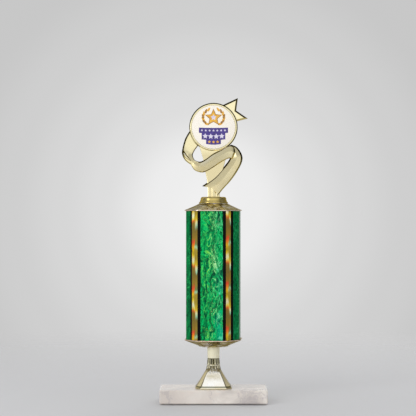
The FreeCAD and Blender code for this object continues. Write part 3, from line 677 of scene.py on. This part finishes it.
def riser_piece(material):
    """Hollow pyramid foot, fluted neck with a bead, and a plain collar."""
    top = riser_high.z - riser_low.z
    neck_square = square_reach(8.85, 2.5, SOFT_EDGE)
    levels = [(0.0, foot_square(-0.3)), (0.12, foot_square(-0.1)), (0.35, foot_square(0.0)),
              (LIP_TOP - 0.15, foot_square(0.0)), (LIP_TOP, foot_square(-0.08)),
              (BEVEL_TOP - 0.1, foot_square(-0.95)), (BEVEL_TOP + 0.1, foot_square(-1.08))]
    for share in shares(16, 1):
        height = BEVEL_TOP + 0.1 + (NECK_FOOT - BEVEL_TOP - 0.1) * share
        sag = foot_square(-1.08 - 0.7 * math.sin(share * math.pi))
        levels.append((height, mixed_reach(sag, neck_square, share)))
    for share in shares(8, 1):
        levels.append((NECK_FOOT + 2.6 * share, mixed_reach(neck_square, fluted(8.3), share)))
    for share in shares(6):
        height = NECK_FOOT + 2.7 + (BEAD_CENTRE - 1.1 - NECK_FOOT - 2.7) * share
        levels.append((height, fluted(8.3 - 0.6 * share)))
    for share in shares(8):
        swell = round_reach(6.9 + 0.85 * math.sin(share * math.pi))
        levels.append((BEAD_CENTRE - 1.0 + 2.0 * share, swell))
    for share in shares(8):
        height = BEAD_CENTRE + 1.1 + (NECK_TOP - BEAD_CENTRE - 1.1) * share
        levels.append((height, fluted(7.6 - 0.7 * share)))
    collar = [(NECK_TOP + 0.15, 6.75), (NECK_TOP + 0.5, 6.9), (top - 0.5, 7.25), (top - 0.15, 7.15),
              (top, 6.9)]
    hole = [(top, ROD_HOLE), (top - 2.5, ROD_HOLE), (top - 2.5, 4.9), (19.6, 4.9)]
    levels += [(height, round_reach(radius)) for height, radius in collar + hole]
    levels += [(18.7, square_reach(6.6, 1.8)), (0, square_reach(18.2, 4.6))]
    levels = [(riser_low.z + height, reach) for height, reach in levels]
    return turned_piece("riser_moulding", levels, material)


# ------------------------------------------------------------------ lids
SLOPE_TOP = 8.1


def column_square(growth, crispness=CRISP_EDGE):
    corner = COLUMN_CORNER + CORNER_GROWTH * growth
    return square_reach(COLUMN_HALF + growth, corner, crispness)


def lid_levels():
    """Heights and reaches of a lid above its rim plane, outside first, then inside."""
    rim_edge = column_square(1.6, SOFT_EDGE)
    rim_wall = column_square(1.85, SOFT_EDGE)
    inner_wall = column_square(-3.55)
    outer_wall = column_square(-2.05)
    levels = [(0.0, column_square(0.15)), (0.0, rim_edge), (0.2, rim_wall), (0.75, rim_wall),
              (1.0, rim_edge)]
    for share in shares(16, 1):
        square = column_square(1.6 - 1.2 * share, SOFT_EDGE)
        slope = mixed_reach(square, round_reach(17.6), share ** 1.05)
        levels.append((1.0 + (SLOPE_TOP - 1.0) * share, slope))
    boss = [(8.25, 17.4), (8.5, 17.25), (8.75, 17.05), (8.93, 16.7), (LID_HEIGHT, 16.3),
            (LID_HEIGHT, ROD_HOLE), (7.5, ROD_HOLE), (7.5, 15.5), (6.6, 15.6)]
    levels += [(height, round_reach(radius)) for height, radius in boss]
    levels += [(1.0, inner_wall), (-7.0, inner_wall), (-7.0, outer_wall), (1.5, outer_wall),
               (1.5, column_square(0.15))]
    return levels


def lid_piece(name, rim_plane, direction, material):
    """A lid whose boss points up (+1) or down (-1) from the rim plane."""
    levels = [(rim_plane + direction * height, reach) for height, reach in lid_levels()]
    return turned_piece(name, levels, material, COLUMN_TWIST)


# ------------------------------------------------------------------ column wrap
FOLD_RADIUS = 0.7
FOLD_STEPS = 6


def column_corners(growth):
    """The eight corners of the column's outline, offset outwards, front right first."""
    half = COLUMN_HALF + growth
    run = half - (COLUMN_CORNER + CORNER_GROWTH * growth)
    return [(run, -half), (half, -run), (half, run), (run, half),
            (-run, half), (-half, run), (-half, -run), (-run, -half)]


def folded_outline(growth):
    """The column's outline with a small round fold at each corner."""
    corners = [Vector(corner) for corner in column_corners(growth)]
    radius = FOLD_RADIUS + growth
    bend = math.radians(45)
    trim = radius * math.tan(bend / 2)
    outline = []
    for index, corner in enumerate(corners):
        arriving = (corner - corners[index - 1]).normalized()
        start = corner - arriving * trim
        inward = Vector((-arriving.y, arriving.x))
        centre = start + inward * radius
        for step in range(FOLD_STEPS + 1):
            angle = bend * step / FOLD_STEPS
            spoke = -inward * math.cos(angle) + arriving * math.sin(angle)
            outline.append(centre + spoke * radius)
    return outline


def twisted(point, height):
    """A point of the column's outline, turned with the column and raised."""
    across = point.x * math.cos(COLUMN_TWIST) - point.y * math.sin(COLUMN_TWIST)
    along = point.x * math.sin(COLUMN_TWIST) + point.y * math.cos(COLUMN_TWIST)
    return (across, along, height)


def foil_piece(material):
    """The green wrap: a thin closed sleeve with folded corners."""
    outer = folded_outline(0.0)
    inner = folded_outline(-0.14)
    low, high = foil_low.z, foil_high.z
    rings = [
        [twisted(point, low) for point in outer], [twisted(point, high) for point in outer],
        [twisted(point, high) for point in inner], [twisted(point, low) for point in inner],
    ]
    return closed_piece("green_wrap", rings, material)


TAPE_LIFT = 0.02
TAPE_THICKNESS = 0.09
TAPE_FACE_PART = 3.6
GOLD, BLACK = 0, 1


def tape_piece(name, corner, mirror, gold_end, black_end, materials):
    """A corner tape: black edge on the face, round the fold, gold, black edge.
    The two ends are distances from the fold."""
    anchors = [Vector(point) for point in column_corners(0.0)]
    fold = anchors[corner]
    face_way = (anchors[corner - 1] - fold).normalized()
    slope_way = (anchors[(corner + 1) % 8] - fold).normalized()
    if mirror:
        face_way, slope_way = slope_way, face_way
    face_out = Vector((0, math.copysign(1, fold.y)))
    slope_out = Vector((math.copysign(1, fold.x), math.copysign(1, fold.y))).normalized()
    trim = FOLD_RADIUS * math.tan(math.radians(22.5))
    track = [(fold + face_way * TAPE_FACE_PART, face_out, BLACK), (fold + face_way * trim, face_out, BLACK)]
    pivot = fold + face_way * trim - face_out * FOLD_RADIUS
    for share in shares(FOLD_STEPS, 1)[:-1]:
        out = (face_out * (1 - share) + slope_out * share).normalized()
        track.append((pivot + out * FOLD_RADIUS, out, BLACK if share < 0.5 else GOLD))
    for distance, mark in ((trim, GOLD), (gold_end, BLACK), (black_end, BLACK)):
        track.append((fold + slope_way * distance, slope_out, mark))
    outer = [point + out * (TAPE_LIFT + TAPE_THICKNESS) for point, out, mark in track]
    inner = [point + out * TAPE_LIFT for point, out, mark in track]
    section = outer + inner[::-1]
    rings = [[twisted(point, height) for point in section] for height in (foil_low.z, foil_high.z)]
    points, faces = bridge(rings)
    count = len(section)
    marks = []
    for step in range(count):
        index = step if step < len(track) else count - 1 - step
        marks.append(track[index][2])
    for step in range(len(track) - 1):
        quad = (step, step + 1, count - 2 - step, count - 1 - step)
        faces += [quad, tuple(index + count for index in quad)]
        marks += [track[step][2]] * 2
    return new_piece(name, points, faces, materials, marks)


# ------------------------------------------------------------------ figure
def disc_place(across, up):
    """A place in disc radii from the disc's centre, in millimetres."""
    return across * DISC_RADIUS, DISC_CENTRE + up * DISC_RADIUS


def arc(centre, radius, start, end, steps):
    """Points (radius, height) on an arc; angles in degrees from the outward direction."""
    angles = [math.radians(start + (end - start) * share) for share in shares(steps)]
    return [(centre[0] + radius * math.cos(a), centre[1] + radius * math.sin(a)) for a in angles]


def upright_disc(name, profile, steps, material, flat=False):
    """A disc about the front-to-back axis from (radius, depth) points, capped flat."""
    rings = [[(x, depth, DISC_CENTRE + z) for x, z in circle(radius, steps)] for radius, depth in profile]
    return capped_piece(name, rings, material, flat)


RECESS_RADIUS = 25.62
RECESS_DEPTH = -1.9


def holder_piece(material):
    """Round plate with a sloping edge, a narrow flat rim and a shallow recess."""
    profile = [(27.0, 3.5), (27.9, 3.35), (DISC_RADIUS, 2.9), (DISC_RADIUS, -2.15),
               (27.15, -3.3), (27.0, -3.42), (26.8, -3.5), (26.25, -3.5), (25.85, -3.42), (25.68, -3.2),
               (RECESS_RADIUS, RECESS_DEPTH)]
    return upright_disc("holder", profile, 160, material)


def base_piece(material):
    """Stepped round base of the figure."""
    profile = [(16.4, 0.0)]
    profile += arc((16.4, 0.5), 0.5, -70, 0, 6)
    profile += arc((16.4, 0.9), 0.5, 0, 90, 7)
    profile += arc((16.15, 1.75), 0.35, -90, -180, 6)
    profile += [(15.7, 2.2), (15.6, 2.8)]
    profile += arc((15.25, 2.95), 0.35, 0, 70, 6)
    profile += arc((15.55, 3.75), 0.45, -115, -180, 6)
    profile += [(15.0, 4.4)]
    profile += arc((12.6, 4.9), 2.4, 2, 90, 14)
    profile += [(9.5, 7.3)]
    return capped_piece("foot", foot_rings(profile, 144), material)


def foot_rings(profile, sides):
    """Level circles from (radius, height above the figure's foot) pairs."""
    return [[(x, y, figure_low.z + height) for x, y in circle(radius, sides)] for radius, height in profile]


NUT_WIDTH = 11.13
NUT_POCKET_TOP = 5.0
FIGURE_HOLE_TOP = 5.9


def nut_socket(material):
    """The hexagonal pocket and the blind rod hole, to be cut from the base."""
    nut_reach = NUT_WIDTH / 2 / math.cos(math.radians(30))
    pocket = foot_rings([(nut_reach, -1.0), (nut_reach, NUT_POCKET_TOP)], 6)
    hole = foot_rings([(ROD_HOLE, -1.0), (ROD_HOLE, FIGURE_HOLE_TOP)], 48)
    socket = capped_piece("socket", pocket, material, flat=True)
    combine(socket, capped_piece("hole", hole, material, flat=True), "UNION")
    return socket


# Sides of the stem: (height above the figure's foot, left edge, right edge).
STEM_SIDES = [
    (6.6, -6.9, 7.6), (14.3, -6.8, 7.0), (18.2, -6.95, 7.0), (26.9, -7.6, 8.1), (35.6, -9.3, 9.9),
    (42.6, -10.6, 12.0), (50.5, -11.8, 14.0), (57.0, -13.6, 15.0), (64.5, -15.8, 16.4),
    (71.6, -17.0, 17.4),
]


def stem_piece(material):
    """Flat post with soft edges and, low down, two upright grooves."""
    rings = []
    for height, left, right in path_through(STEM_SIDES, 54):
        groove = 0.5 * max(0.0, min(1.0, (24.0 - height) / 6.0))
        front = -2.7
        middle = (left + right) / 2
        half = (right - left) / 2
        inner = half * 0.40
        width = min(1.9, half * 0.24)
        section = [
            (-half, 2.4), (-half, front + 0.5), (-half + 0.15, front + 0.15), (-half + 0.5, front),
            (-inner - width, front), (-inner, front + groove), (-inner + width, front),
            (inner - width, front), (inner, front + groove), (inner + width, front),
            (half - 0.5, front), (half - 0.15, front + 0.15), (half, front + 0.5), (half, 2.4),
            (half - 0.6, 3.0), (-half + 0.6, 3.0),
        ]
        rings.append([(middle + across, along, figure_low.z + height) for across, along in section])
    return capped_piece("stem", rings, material)


# Corners of the star in disc radii from the disc's centre, tips and hollows taking
# turns.  The last tip is short, so that it stays behind the disc.
STAR_CORNERS = [
    (1.01, 1.21), (0.94, 0.69), (1.42, 0.36), (0.86, 0.22), (0.64, -0.35),
    (0.30, 0.17), (-0.23, 0.17), (0.18, 0.60), (0.02, 0.90), (0.37, 0.91),
]


def inset_outline(corners, distance):
    """A closed outline, its corners counted clockwise, moved inwards by a distance."""
    moved = []
    count = len(corners)
    for index, corner in enumerate(corners):
        arriving = (corner - corners[index - 1]).normalized()
        leaving = (corners[(index + 1) % count] - corner).normalized()
        first = Vector((arriving.y, -arriving.x))
        second = Vector((leaving.y, -leaving.x))
        middle = (first + second).normalized()
        moved.append(corner + middle * distance / max(middle.dot(first), 0.35))
    return moved


def star_piece(material):
    """Flat star plate with sloping side walls."""
    back, front, wall = 3.45, -0.2, 1.9
    corners = [Vector(disc_place(*corner)) for corner in STAR_CORNERS]
    inner = inset_outline(corners, wall)
    soft = inset_outline(corners, wall + 0.2)
    levels = [(corners, back), (corners, front + wall), (inner, front + 0.08), (soft, front)]
    rings = [[(corner.x, depth, corner.y) for corner in outline] for outline, depth in levels]
    return capped_piece("star", rings, material, flat=True)


# The ribbon's runs.  Each station holds, in disc radii from the disc's centre, the
# first edge, the crease and the second edge, then the depths of those three in
# millimetres, front is negative, and the widths of the two sloping walls.
RIBBON_LOOP = [
    ((-0.66, 0.30), (-0.46, 0.02), (-0.26, -0.26), 0.4, 0.1, 0.4, 1.4, 1.0),
    ((-0.97, -0.13), (-0.74, -0.36), (-0.50, -0.58), 0.2, -0.2, 0.2, 1.7, 1.0),
    ((-1.17, -0.47), (-0.88, -0.60), (-0.61, -0.73), -0.1, -0.6, -0.1, 1.8, 1.0),
    ((-1.275, -0.84), (-0.99, -0.90), (-0.77, -0.95), -0.7, -1.4, -0.7, 1.8, 1.0),
    ((-1.30, -1.10), (-1.05, -1.11), (-0.85, -1.12), -1.5, -2.4, -1.6, 1.7, 1.0),
    ((-1.19, -1.35), (-1.00, -1.30), (-0.83, -1.26), -2.6, -3.4, -2.7, 1.5, 0.8),
    ((-0.98, -1.52), (-0.88, -1.44), (-0.76, -1.37), -3.3, -3.9, -3.6, 1.1, 0.7),
    ((-0.76, -1.62), (-0.68, -1.53), (-0.60, -1.43), -3.8, -4.3, -4.2, 0.7, 0.7),
]
RIBBON_SASH = [
    ((-0.78, -1.38), (-0.86, -1.46), (-0.94, -1.54), -3.4, -3.7, -3.2, 0.7, 0.5),
    ((-0.66, -1.42), (-0.72, -1.58), (-0.80, -1.76), -4.2, -5.3, -3.8, 1.3, 0.9),
    ((-0.52, -1.42), (-0.56, -1.63), (-0.62, -1.85), -4.6, -6.2, -4.3, 1.7, 1.1),
    ((-0.33, -1.33), (-0.38, -1.60), (-0.41, -1.87), -5.0, -6.9, -4.8, 1.9, 1.2),
    ((0.00, -1.09), (-0.07, -1.42), (-0.13, -1.74), -5.4, -7.5, -5.2, 2.0, 1.2),
    ((0.34, -0.92), (0.32, -1.18), (0.35, -1.43), -5.8, -7.6, -5.6, 1.6, 1.2),
    ((0.66, -0.76), (0.63, -1.02), (0.62, -1.30), -5.8, -7.3, -5.8, 1.3, 1.1),
    ((0.83, -0.82), (0.83, -1.03), (0.75, -1.30), -5.2, -6.1, -5.3, 1.1, 0.9),
    ((0.90, -0.96), (0.90, -1.07), (0.81, -1.24), -3.6, -3.9, -3.8, 0.5, 0.5),
]
RIBBON_TAIL = [
    ((0.55, -0.95), (0.64, -0.84), (0.72, -0.72), -2.4, -2.7, -2.4, 0.8, 1.2),
    ((0.70, -1.14), (0.86, -1.00), (0.98, -0.84), -2.9, -4.0, -2.9, 1.2, 1.7),
    ((0.67, -1.30), (0.95, -1.22), (1.18, -1.15), -3.1, -4.9, -3.3, 2.2, 2.1),
    ((0.54, -1.50), (0.88, -1.47), (1.17, -1.46), -3.4, -5.5, -3.6, 2.6, 2.1),
    ((0.30, -1.79), (0.64, -1.82), (0.95, -1.88), -3.6, -5.8, -3.8, 2.3, 1.9),
    ((0.05, -2.06), (0.36, -2.17), (0.68, -2.25), -3.8, -5.9, -3.9, 2.2, 1.7),
    ((-0.23, -2.27), (0.07, -2.44), (0.37, -2.59), -3.8, -5.6, -3.8, 2.2, 1.4),
    ((-0.58, -2.51), (-0.20, -2.72), (0.12, -2.92), -3.5, -5.2, -3.5, 2.0, 1.1),
]
TAIL_NOTCH = [(-0.90, -2.52), (-0.46, -2.44), (-0.01, -2.53), (0.16, -2.79), (0.10, -3.20)]
RIBBON_THICKNESS = 3.4
RIBBON_STEPS = 48


def ribbon_run(name, stations, material):
    """A creased band with 45 degree side walls that follows its stations."""
    flat = [(*first, *crease, *second, *rest) for first, crease, second, *rest in stations]
    rings = []
    for sample in path_through(flat, RIBBON_STEPS):
        first, crease, second = (Vector(disc_place(*sample[k:k + 2])) for k in (0, 2, 4))
        first_depth, crease_depth, second_depth, first_wall, second_wall = sample[6:]
        section = []
        for edge, depth, wall in ((first, first_depth, first_wall), (second, second_depth, second_wall)):
            way = (crease - edge).normalized()
            inner = edge + way * wall
            soft = edge + way * (wall + 0.2)
            section.append([
                (edge.x, depth + RIBBON_THICKNESS, edge.y), (edge.x, depth + wall, edge.y),
                (inner.x, depth + 0.08, inner.y), (soft.x, depth, soft.y),
            ])
        front_crease = (crease.x, crease_depth, crease.y)
        rings.append(section[0] + [front_crease] + section[1][::-1])
    return capped_piece(name, rings, material)


# The fold where the loop turns under the sash: (place in disc radii, depth, radius).
FOLD_ROLL = [
    ((-1.24, -0.96), -1.8, 0.3), ((-1.215, -1.09), -3.7, 1.3), ((-1.145, -1.21), -4.8, 1.7),
    ((-1.04, -1.31), -5.0, 1.3), ((-0.93, -1.40), -4.3, 0.4),
]


def fold_roll(material):
    """A tapered roll along the loop's lower left edge."""
    rings = []
    steps = 24
    samples = path_through([(*place, depth, radius) for place, depth, radius in FOLD_ROLL], steps)
    centres = [Vector(disc_place(across, up)) for across, up, depth, radius in samples]
    for index, (across, up, depth, radius) in enumerate(samples):
        way = (centres[min(index + 1, steps)] - centres[max(index - 1, 0)]).normalized()
        side = Vector((-way.y, way.x))
        ring = []
        for out, back in circle(radius, 20):
            place = centres[index] + side * out
            ring.append((place.x, depth + back, place.y))
        rings.append(ring)
    return capped_piece("fold", rings, material)


def tail_notch(material):
    """A wedge that cuts the tail's end to a V."""
    corners = [disc_place(*corner) for corner in TAIL_NOTCH]
    rings = [[(x, depth, z) for x, z in corners] for depth in (-12.0, 6.0)]
    return capped_piece("notch", rings, material, flat=True)


def figure_piece(material):
    """The whole gold moulding as one closed mesh."""
    whole = base_piece(material)
    combine(whole, nut_socket(material), "DIFFERENCE")
    combine(whole, stem_piece(material), "UNION")
    combine(whole, star_piece(material), "UNION")
    loop = ribbon_run("loop", RIBBON_LOOP, material)
    combine(loop, fold_roll(material), "UNION")
    combine(whole, loop, "UNION")
    combine(whole, holder_piece(material), "UNION")
    cutter = [(RECESS_RADIUS, RECESS_DEPTH), (RECESS_RADIUS, -4.5)]
    recess = upright_disc("recess", cutter, 160, material, flat=True)
    combine(whole, recess, "DIFFERENCE")
    tail = ribbon_run("tail", RIBBON_TAIL, material)
    combine(tail, tail_notch(material), "DIFFERENCE")
    combine(whole, tail, "UNION")
    combine(whole, ribbon_run("sash", RIBBON_SASH, material), "UNION")
    whole.name = "figure_moulding"
    tidy_mesh(whole)
    soften(whole, 16)
    return whole


# ------------------------------------------------------------------ emblem
def emblem_piece(material):
    """The round insert with a softened edge."""
    front, back = emblem_low.y, emblem_high.y
    profile = [(25.2, back), (25.4, back - 0.15), (25.4, front + 0.25), (25.3, front + 0.08),
               (25.05, front)]
    return upright_disc("emblem_insert", profile, 128, material)


INK_THICKNESS = 0.04


def inked(outline, layer, mark, store):
    """Add a printed shape, a thin slab, to the store of points, faces and marks."""
    front = emblem_low.y - INK_THICKNESS * (layer + 1)
    back = emblem_low.y + 0.02
    points, faces, marks = store
    first = len(points)
    rings = [[(x, depth, DISC_CENTRE + z) for x, z in outline] for depth in (back, front)]
    more_points, more_faces = capped(rings)
    points.extend(more_points)
    faces.extend(tuple(index + first for index in face) for face in more_faces)
    marks.extend([mark] * len(more_faces))


def star_outline(centre, radius, waist):
    outline = []
    for step in range(10):
        reach = radius * waist if step % 2 else radius
        angle = math.pi * (0.5 + step / 5)
        outline.append((centre[0] + reach * math.cos(angle), centre[1] + reach * math.sin(angle)))
    return outline


def leaf_outline(centre, length, width, angle):
    outline = []
    for x, y in circle(0.5, 16):
        along = length * x
        across = width * y * (1 - 0.7 * x)
        outline.append((centre[0] + along * math.cos(angle) - across * math.sin(angle),
                        centre[1] + along * math.sin(angle) + across * math.cos(angle)))
    return outline


def banner_drop(across, half_width, sag):
    return sag * (1 - (across / half_width) ** 2)


def banner_outline(half_width, low, high, sag):
    """A band between two heights whose middle hangs by the sag."""
    places = [half_width * (2 * share - 1) for share in shares(16)]
    top = [(across, high - banner_drop(across, half_width, sag)) for across in places]
    bottom = [(across, low - banner_drop(across, half_width, sag)) for across in places]
    return top + bottom[::-1]


def emblem_print(materials):
    """Gold star in a laurel over a violet banner of stars, all in thin print."""
    gold, bronze, violet, pale = range(4)
    store = ([], [], [])
    for side in (-1, 1):
        for step in range(7):
            angle = math.radians(-50 + 19 * step)
            centre = (side * 12.4 * math.cos(angle), 11.4 + 10.2 * math.sin(angle))
            lean = angle + math.radians(62)
            leaf_angle = lean if side > 0 else math.pi - lean
            inked(leaf_outline(centre, 5.6, 2.5, leaf_angle), 0, bronze if step % 2 else gold, store)
    inked(star_outline((0, 11.0), 10.6, 0.46), 0, bronze, store)
    inked(star_outline((0, 11.1), 9.0, 0.44), 1, gold, store)
    inked(star_outline((0, 11.2), 3.6, 0.5), 2, pale, store)
    bands = [(17.0, -6.8, -0.6, 0.4, 7, 1.5, 4.5), (13.8, -14.4, -6.0, 0.8, 4, 3.4, 6.4),
             (8.6, -19.8, -13.6, 0.8, 3, 1.9, 4.8)]
    for layer, (half_width, low, high, sag, stars, radius, pitch) in enumerate(bands):
        inked(banner_outline(half_width, low, high, sag), layer, violet, store)
        for place in range(stars):
            across = (place - (stars - 1) / 2) * pitch
            centre = (across, (low + high) / 2 - banner_drop(across, half_width, sag))
            inked(star_outline(centre, radius, 0.5), 3, gold if layer == 2 else pale, store)
    points, faces, marks = store
    return new_piece("emblem_print", points, faces, materials, marks, flat=True)


# ------------------------------------------------------------------ rod
def rod_piece(material):
    """Threaded rod with a real helical thread."""
    crest, root, pitch = 3.17, 2.60, 1.27
    sides, rows_per_turn = 24, 6
    length = rod_high.z - rod_low.z
    rings = []
    for share in shares(int(length / pitch * rows_per_turn)):
        level = length * share
        ring = []
        for side in range(sides):
            wave = abs(2 * ((level / pitch - side / sides) % 1) - 1)
            radius = root + (crest - root) * min(1.0, 1.35 * wave)
            radius = min(radius, root + 1.2 * min(level, length - level))
            angle = FULL_TURN * side / sides
            ring.append((radius * math.cos(angle), radius * math.sin(angle), rod_low.z + level))
        rings.append(ring)
    return capped_piece("rod", rings, material)


# ------------------------------------------------------------------ assemble
def dress(node, material, bevel=0.0):
    """Give a CAD node a material, and soften its edges with a modifier."""
    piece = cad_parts[node]
    piece.data.materials.clear()
    piece.data.materials.append(material)
    if bevel:
        modifier = piece.modifiers.new("soft_edges", "BEVEL")
        modifier.width = bevel * MM
        modifier.segments = 3
        modifier.limit_method = "ANGLE"
        modifier.angle_limit = math.radians(30)


def mount(piece, body, slot, *nodes):
    """Ride a new piece on its body, in place of CAD nodes if any are named."""
    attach(piece, body)
    if nodes:
        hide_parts(*nodes)


lid_finish = lid_gold()
steel = plated_steel()
tape_materials = [prism_gold(), black_border()]
inks = [
    ink("ink_gold", (0.88, 0.50, 0.05), (0.74, 0.36, 0.02)),
    ink("ink_bronze", (0.46, 0.22, 0.03), (0.30, 0.13, 0.015)),
    ink("ink_violet", (0.050, 0.020, 0.26), (0.028, 0.010, 0.17)),
    ink("ink_pale", (0.78, 0.74, 0.88), (0.70, 0.66, 0.82)),
]

dress("marble_base", marble(), 0.35)
dress("felt_pads", felt(), 0.2)
for hardware in ("flat_washer", "lock_washer", "hex_nut", "figure_nut"):
    dress(hardware, steel, 0.15)
dress("column_tube", plain_plastic())
dress("emblem_adhesive", foam_adhesive(), 0.1)

mount(rod_piece(steel), "base", "plated_steel", "threaded_rod")
mount(riser_piece(riser_gold()), "riser", "gold_plastic", "riser")
for lid, rim_plane, direction in (("lower_lid", RIM_PLANE_LOW, -1), ("upper_lid", RIM_PLANE_HIGH, 1)):
    moulding = lid_piece(lid + "_moulding", rim_plane, direction, lid_finish)
    mount(moulding, "column", "gold_plastic", lid)
mount(foil_piece(green_foil()), "column", "green_foil", "column_foil")
for tape, corner, mirror, gold_end, black_end in (
        ("tape_front_right", 0, False, 7.3, 11.1), ("tape_back_right", 3, True, 7.3, 11.1),
        ("tape_back_left", 4, False, 9.5, 12.4), ("tape_front_left", 7, True, 9.5, 12.4)):
    strip = tape_piece(tape, corner, mirror, gold_end, black_end, tape_materials)
    mount(strip, "column", "prism_tape", "corner_tapes")
mount(figure_piece(figure_gold()), "figure", "figure_gold", "figure")
mount(emblem_piece(ivory_print()), "figure", "printed_emblem", "emblem_disc")
mount(emblem_print(inks), "figure", "printed_emblem")


# ------------------------------------------------------------------ stage
FLOOR_HALF = 3.0


def mix_shaders(shader, share, first, second):
    return shader.add("ShaderNodeMixShader", 0, {0: share, 1: first, 2: second})


def floor():
    """Pale floor that fades into the background away from the trophy."""
    corners = [(-FLOOR_HALF, -FLOOR_HALF, 0), (FLOOR_HALF, -FLOOR_HALF, 0), (FLOOR_HALF, FLOOR_HALF, 0),
               (-FLOOR_HALF, FLOOR_HALF, 0)]
    mesh = bpy.data.meshes.new("floor")
    mesh.from_pydata(corners, [], [(0, 1, 2, 3)])
    shader = new_shader("floor")
    shader.set(Base_Color=(0.62, 0.62, 0.63), Roughness=0.6)
    reach = shader.add("ShaderNodeVectorMath", "Value", {0: shader.place()}, operation="LENGTH")
    clear = shader.add("ShaderNodeBsdfTransparent", 0, {})
    matt = Value(shader, shader.surface.outputs[0])
    blend = mix_shaders(shader, shader.span(reach, 0.25, 1.1), matt, clear)
    shader.feed(shader.tree.nodes["Material Output"].inputs["Surface"], blend)
    mesh.materials.append(shader.owner)
    new_object("floor", mesh)


def greys(shader, share, stops):
    """A smooth ramp of greys; each stop is (position, level)."""
    return shader.ramp(share, [(position, (level, level, level)) for position, level in stops], "EASE")


def backdrop(shader, across, rise):
    """What the camera sees behind the trophy: a pale pool that darkens outwards."""
    from_middle = shader.math("SQRT", shader.squares(across, rise))
    return greys(shader, shader.span(from_middle, 0.0, 0.16), [
        (0.0, 0.88), (0.19, 0.85), (0.42, 0.723), (0.57, 0.675), (0.77, 0.622), (1.0, 0.575),
    ])


def metal_room(shader, across, along, rise):
    """What shiny surfaces mirror: light and dark bands by pitch, and one lamp on the left."""
    pitch = shader.math("ARCTAN2", rise, along * -1.0)
    side = shader.math("ARCSINE", across)
    upright = greys(shader, shader.span(pitch, -math.pi, math.pi), [
        (0.000, 0.80), (0.142, 0.72), (0.200, 0.66), (0.417, 0.97), (0.540, 1.00), (0.572, 0.56),
        (0.638, 0.54), (0.658, 1.00), (0.690, 1.00), (0.722, 0.12), (0.780, 0.14), (0.810, 0.64),
        (0.858, 0.72), (0.910, 0.50), (0.955, 0.60), (1.000, 0.80),
    ])
    sideways = greys(shader, shader.span(side, -math.pi / 2, math.pi / 2), [
        (0.00, 0.34), (0.10, 0.60), (0.20, 1.00), (0.55, 1.00), (0.70, 0.80), (0.82, 0.32), (1.00, 0.30),
    ])
    spot = shader.span(shader.squares(side + 0.85, pitch - 0.10), 0.010, 0.060, 3.2, 0.0)
    bluish = shader.thread(pitch, 1.10, (0.12, 0.24), 1.0)
    tint = shader.mix(bluish, (1.0, 1.0, 1.0), (1.12, 1.26, 1.95))
    inputs = {0: tint, "Scale": upright * sideways * 1.08 + spot}
    return shader.add("ShaderNodeVectorMath", 0, inputs, operation="SCALE")


def studio():
    """A pale backdrop for the camera, a dome for matt surfaces, a studio for metal."""
    world = bpy.data.worlds.new("studio")
    bpy.context.scene.world = world
    shader = Shader(world)
    shader.tree.nodes.clear()
    across, along, rise = shader.axes(shader.coordinate("Generated"))

    def glow(colour, strength=1.0):
        return shader.add("ShaderNodeBackground", 0, {"Color": colour, "Strength": strength})

    def ray(kind):
        return shader.add("ShaderNodeLightPath", kind, {})

    dome = glow((1.0, 1.0, 1.0), 0.72)
    unseen = mix_shaders(shader, ray("Is Glossy Ray"), dome, glow(metal_room(shader, across, along, rise)))
    everything = mix_shaders(shader, ray("Is Camera Ray"), unseen, glow(backdrop(shader, across, rise)))
    shader.feed(shader.tree.nodes.new("ShaderNodeOutputWorld").inputs["Surface"], everything)


def softbox(name, place, aim, watts):
    """A square lamp one metre wide that metal doesn't mirror."""
    data = bpy.data.lights.new(name, "AREA")
    data.shape = "SQUARE"
    data.size = 1.0
    data.energy = watts
    lamp = new_object(name, data)
    lamp.location = place
    lamp.rotation_euler = (Vector(aim) - Vector(place)).to_track_quat("-Z", "Y").to_euler()
    lamp.visible_glossy = False


def camera():
    """A level camera in front of the trophy, a little to the left of its axis."""
    data = bpy.data.cameras.new("camera")
    data.sensor_width = 36
    data.lens = 138.3
    data.clip_start = 0.05
    eye = new_object("camera", data)
    eye.location = (-0.0064, -1.87, 0.227)
    eye.rotation_euler = (math.radians(90), 0, 0)
    bpy.context.scene.camera = eye


floor()
studio()
softbox("key_light", (-1.0, -1.45, 0.85), (0, 0, 0.16), 13)
softbox("back_light", (0.8, 1.3, 1.0), (0, 0, 0.18), 6)
camera()
bpy.context.scene.view_settings.view_transform = "Standard"
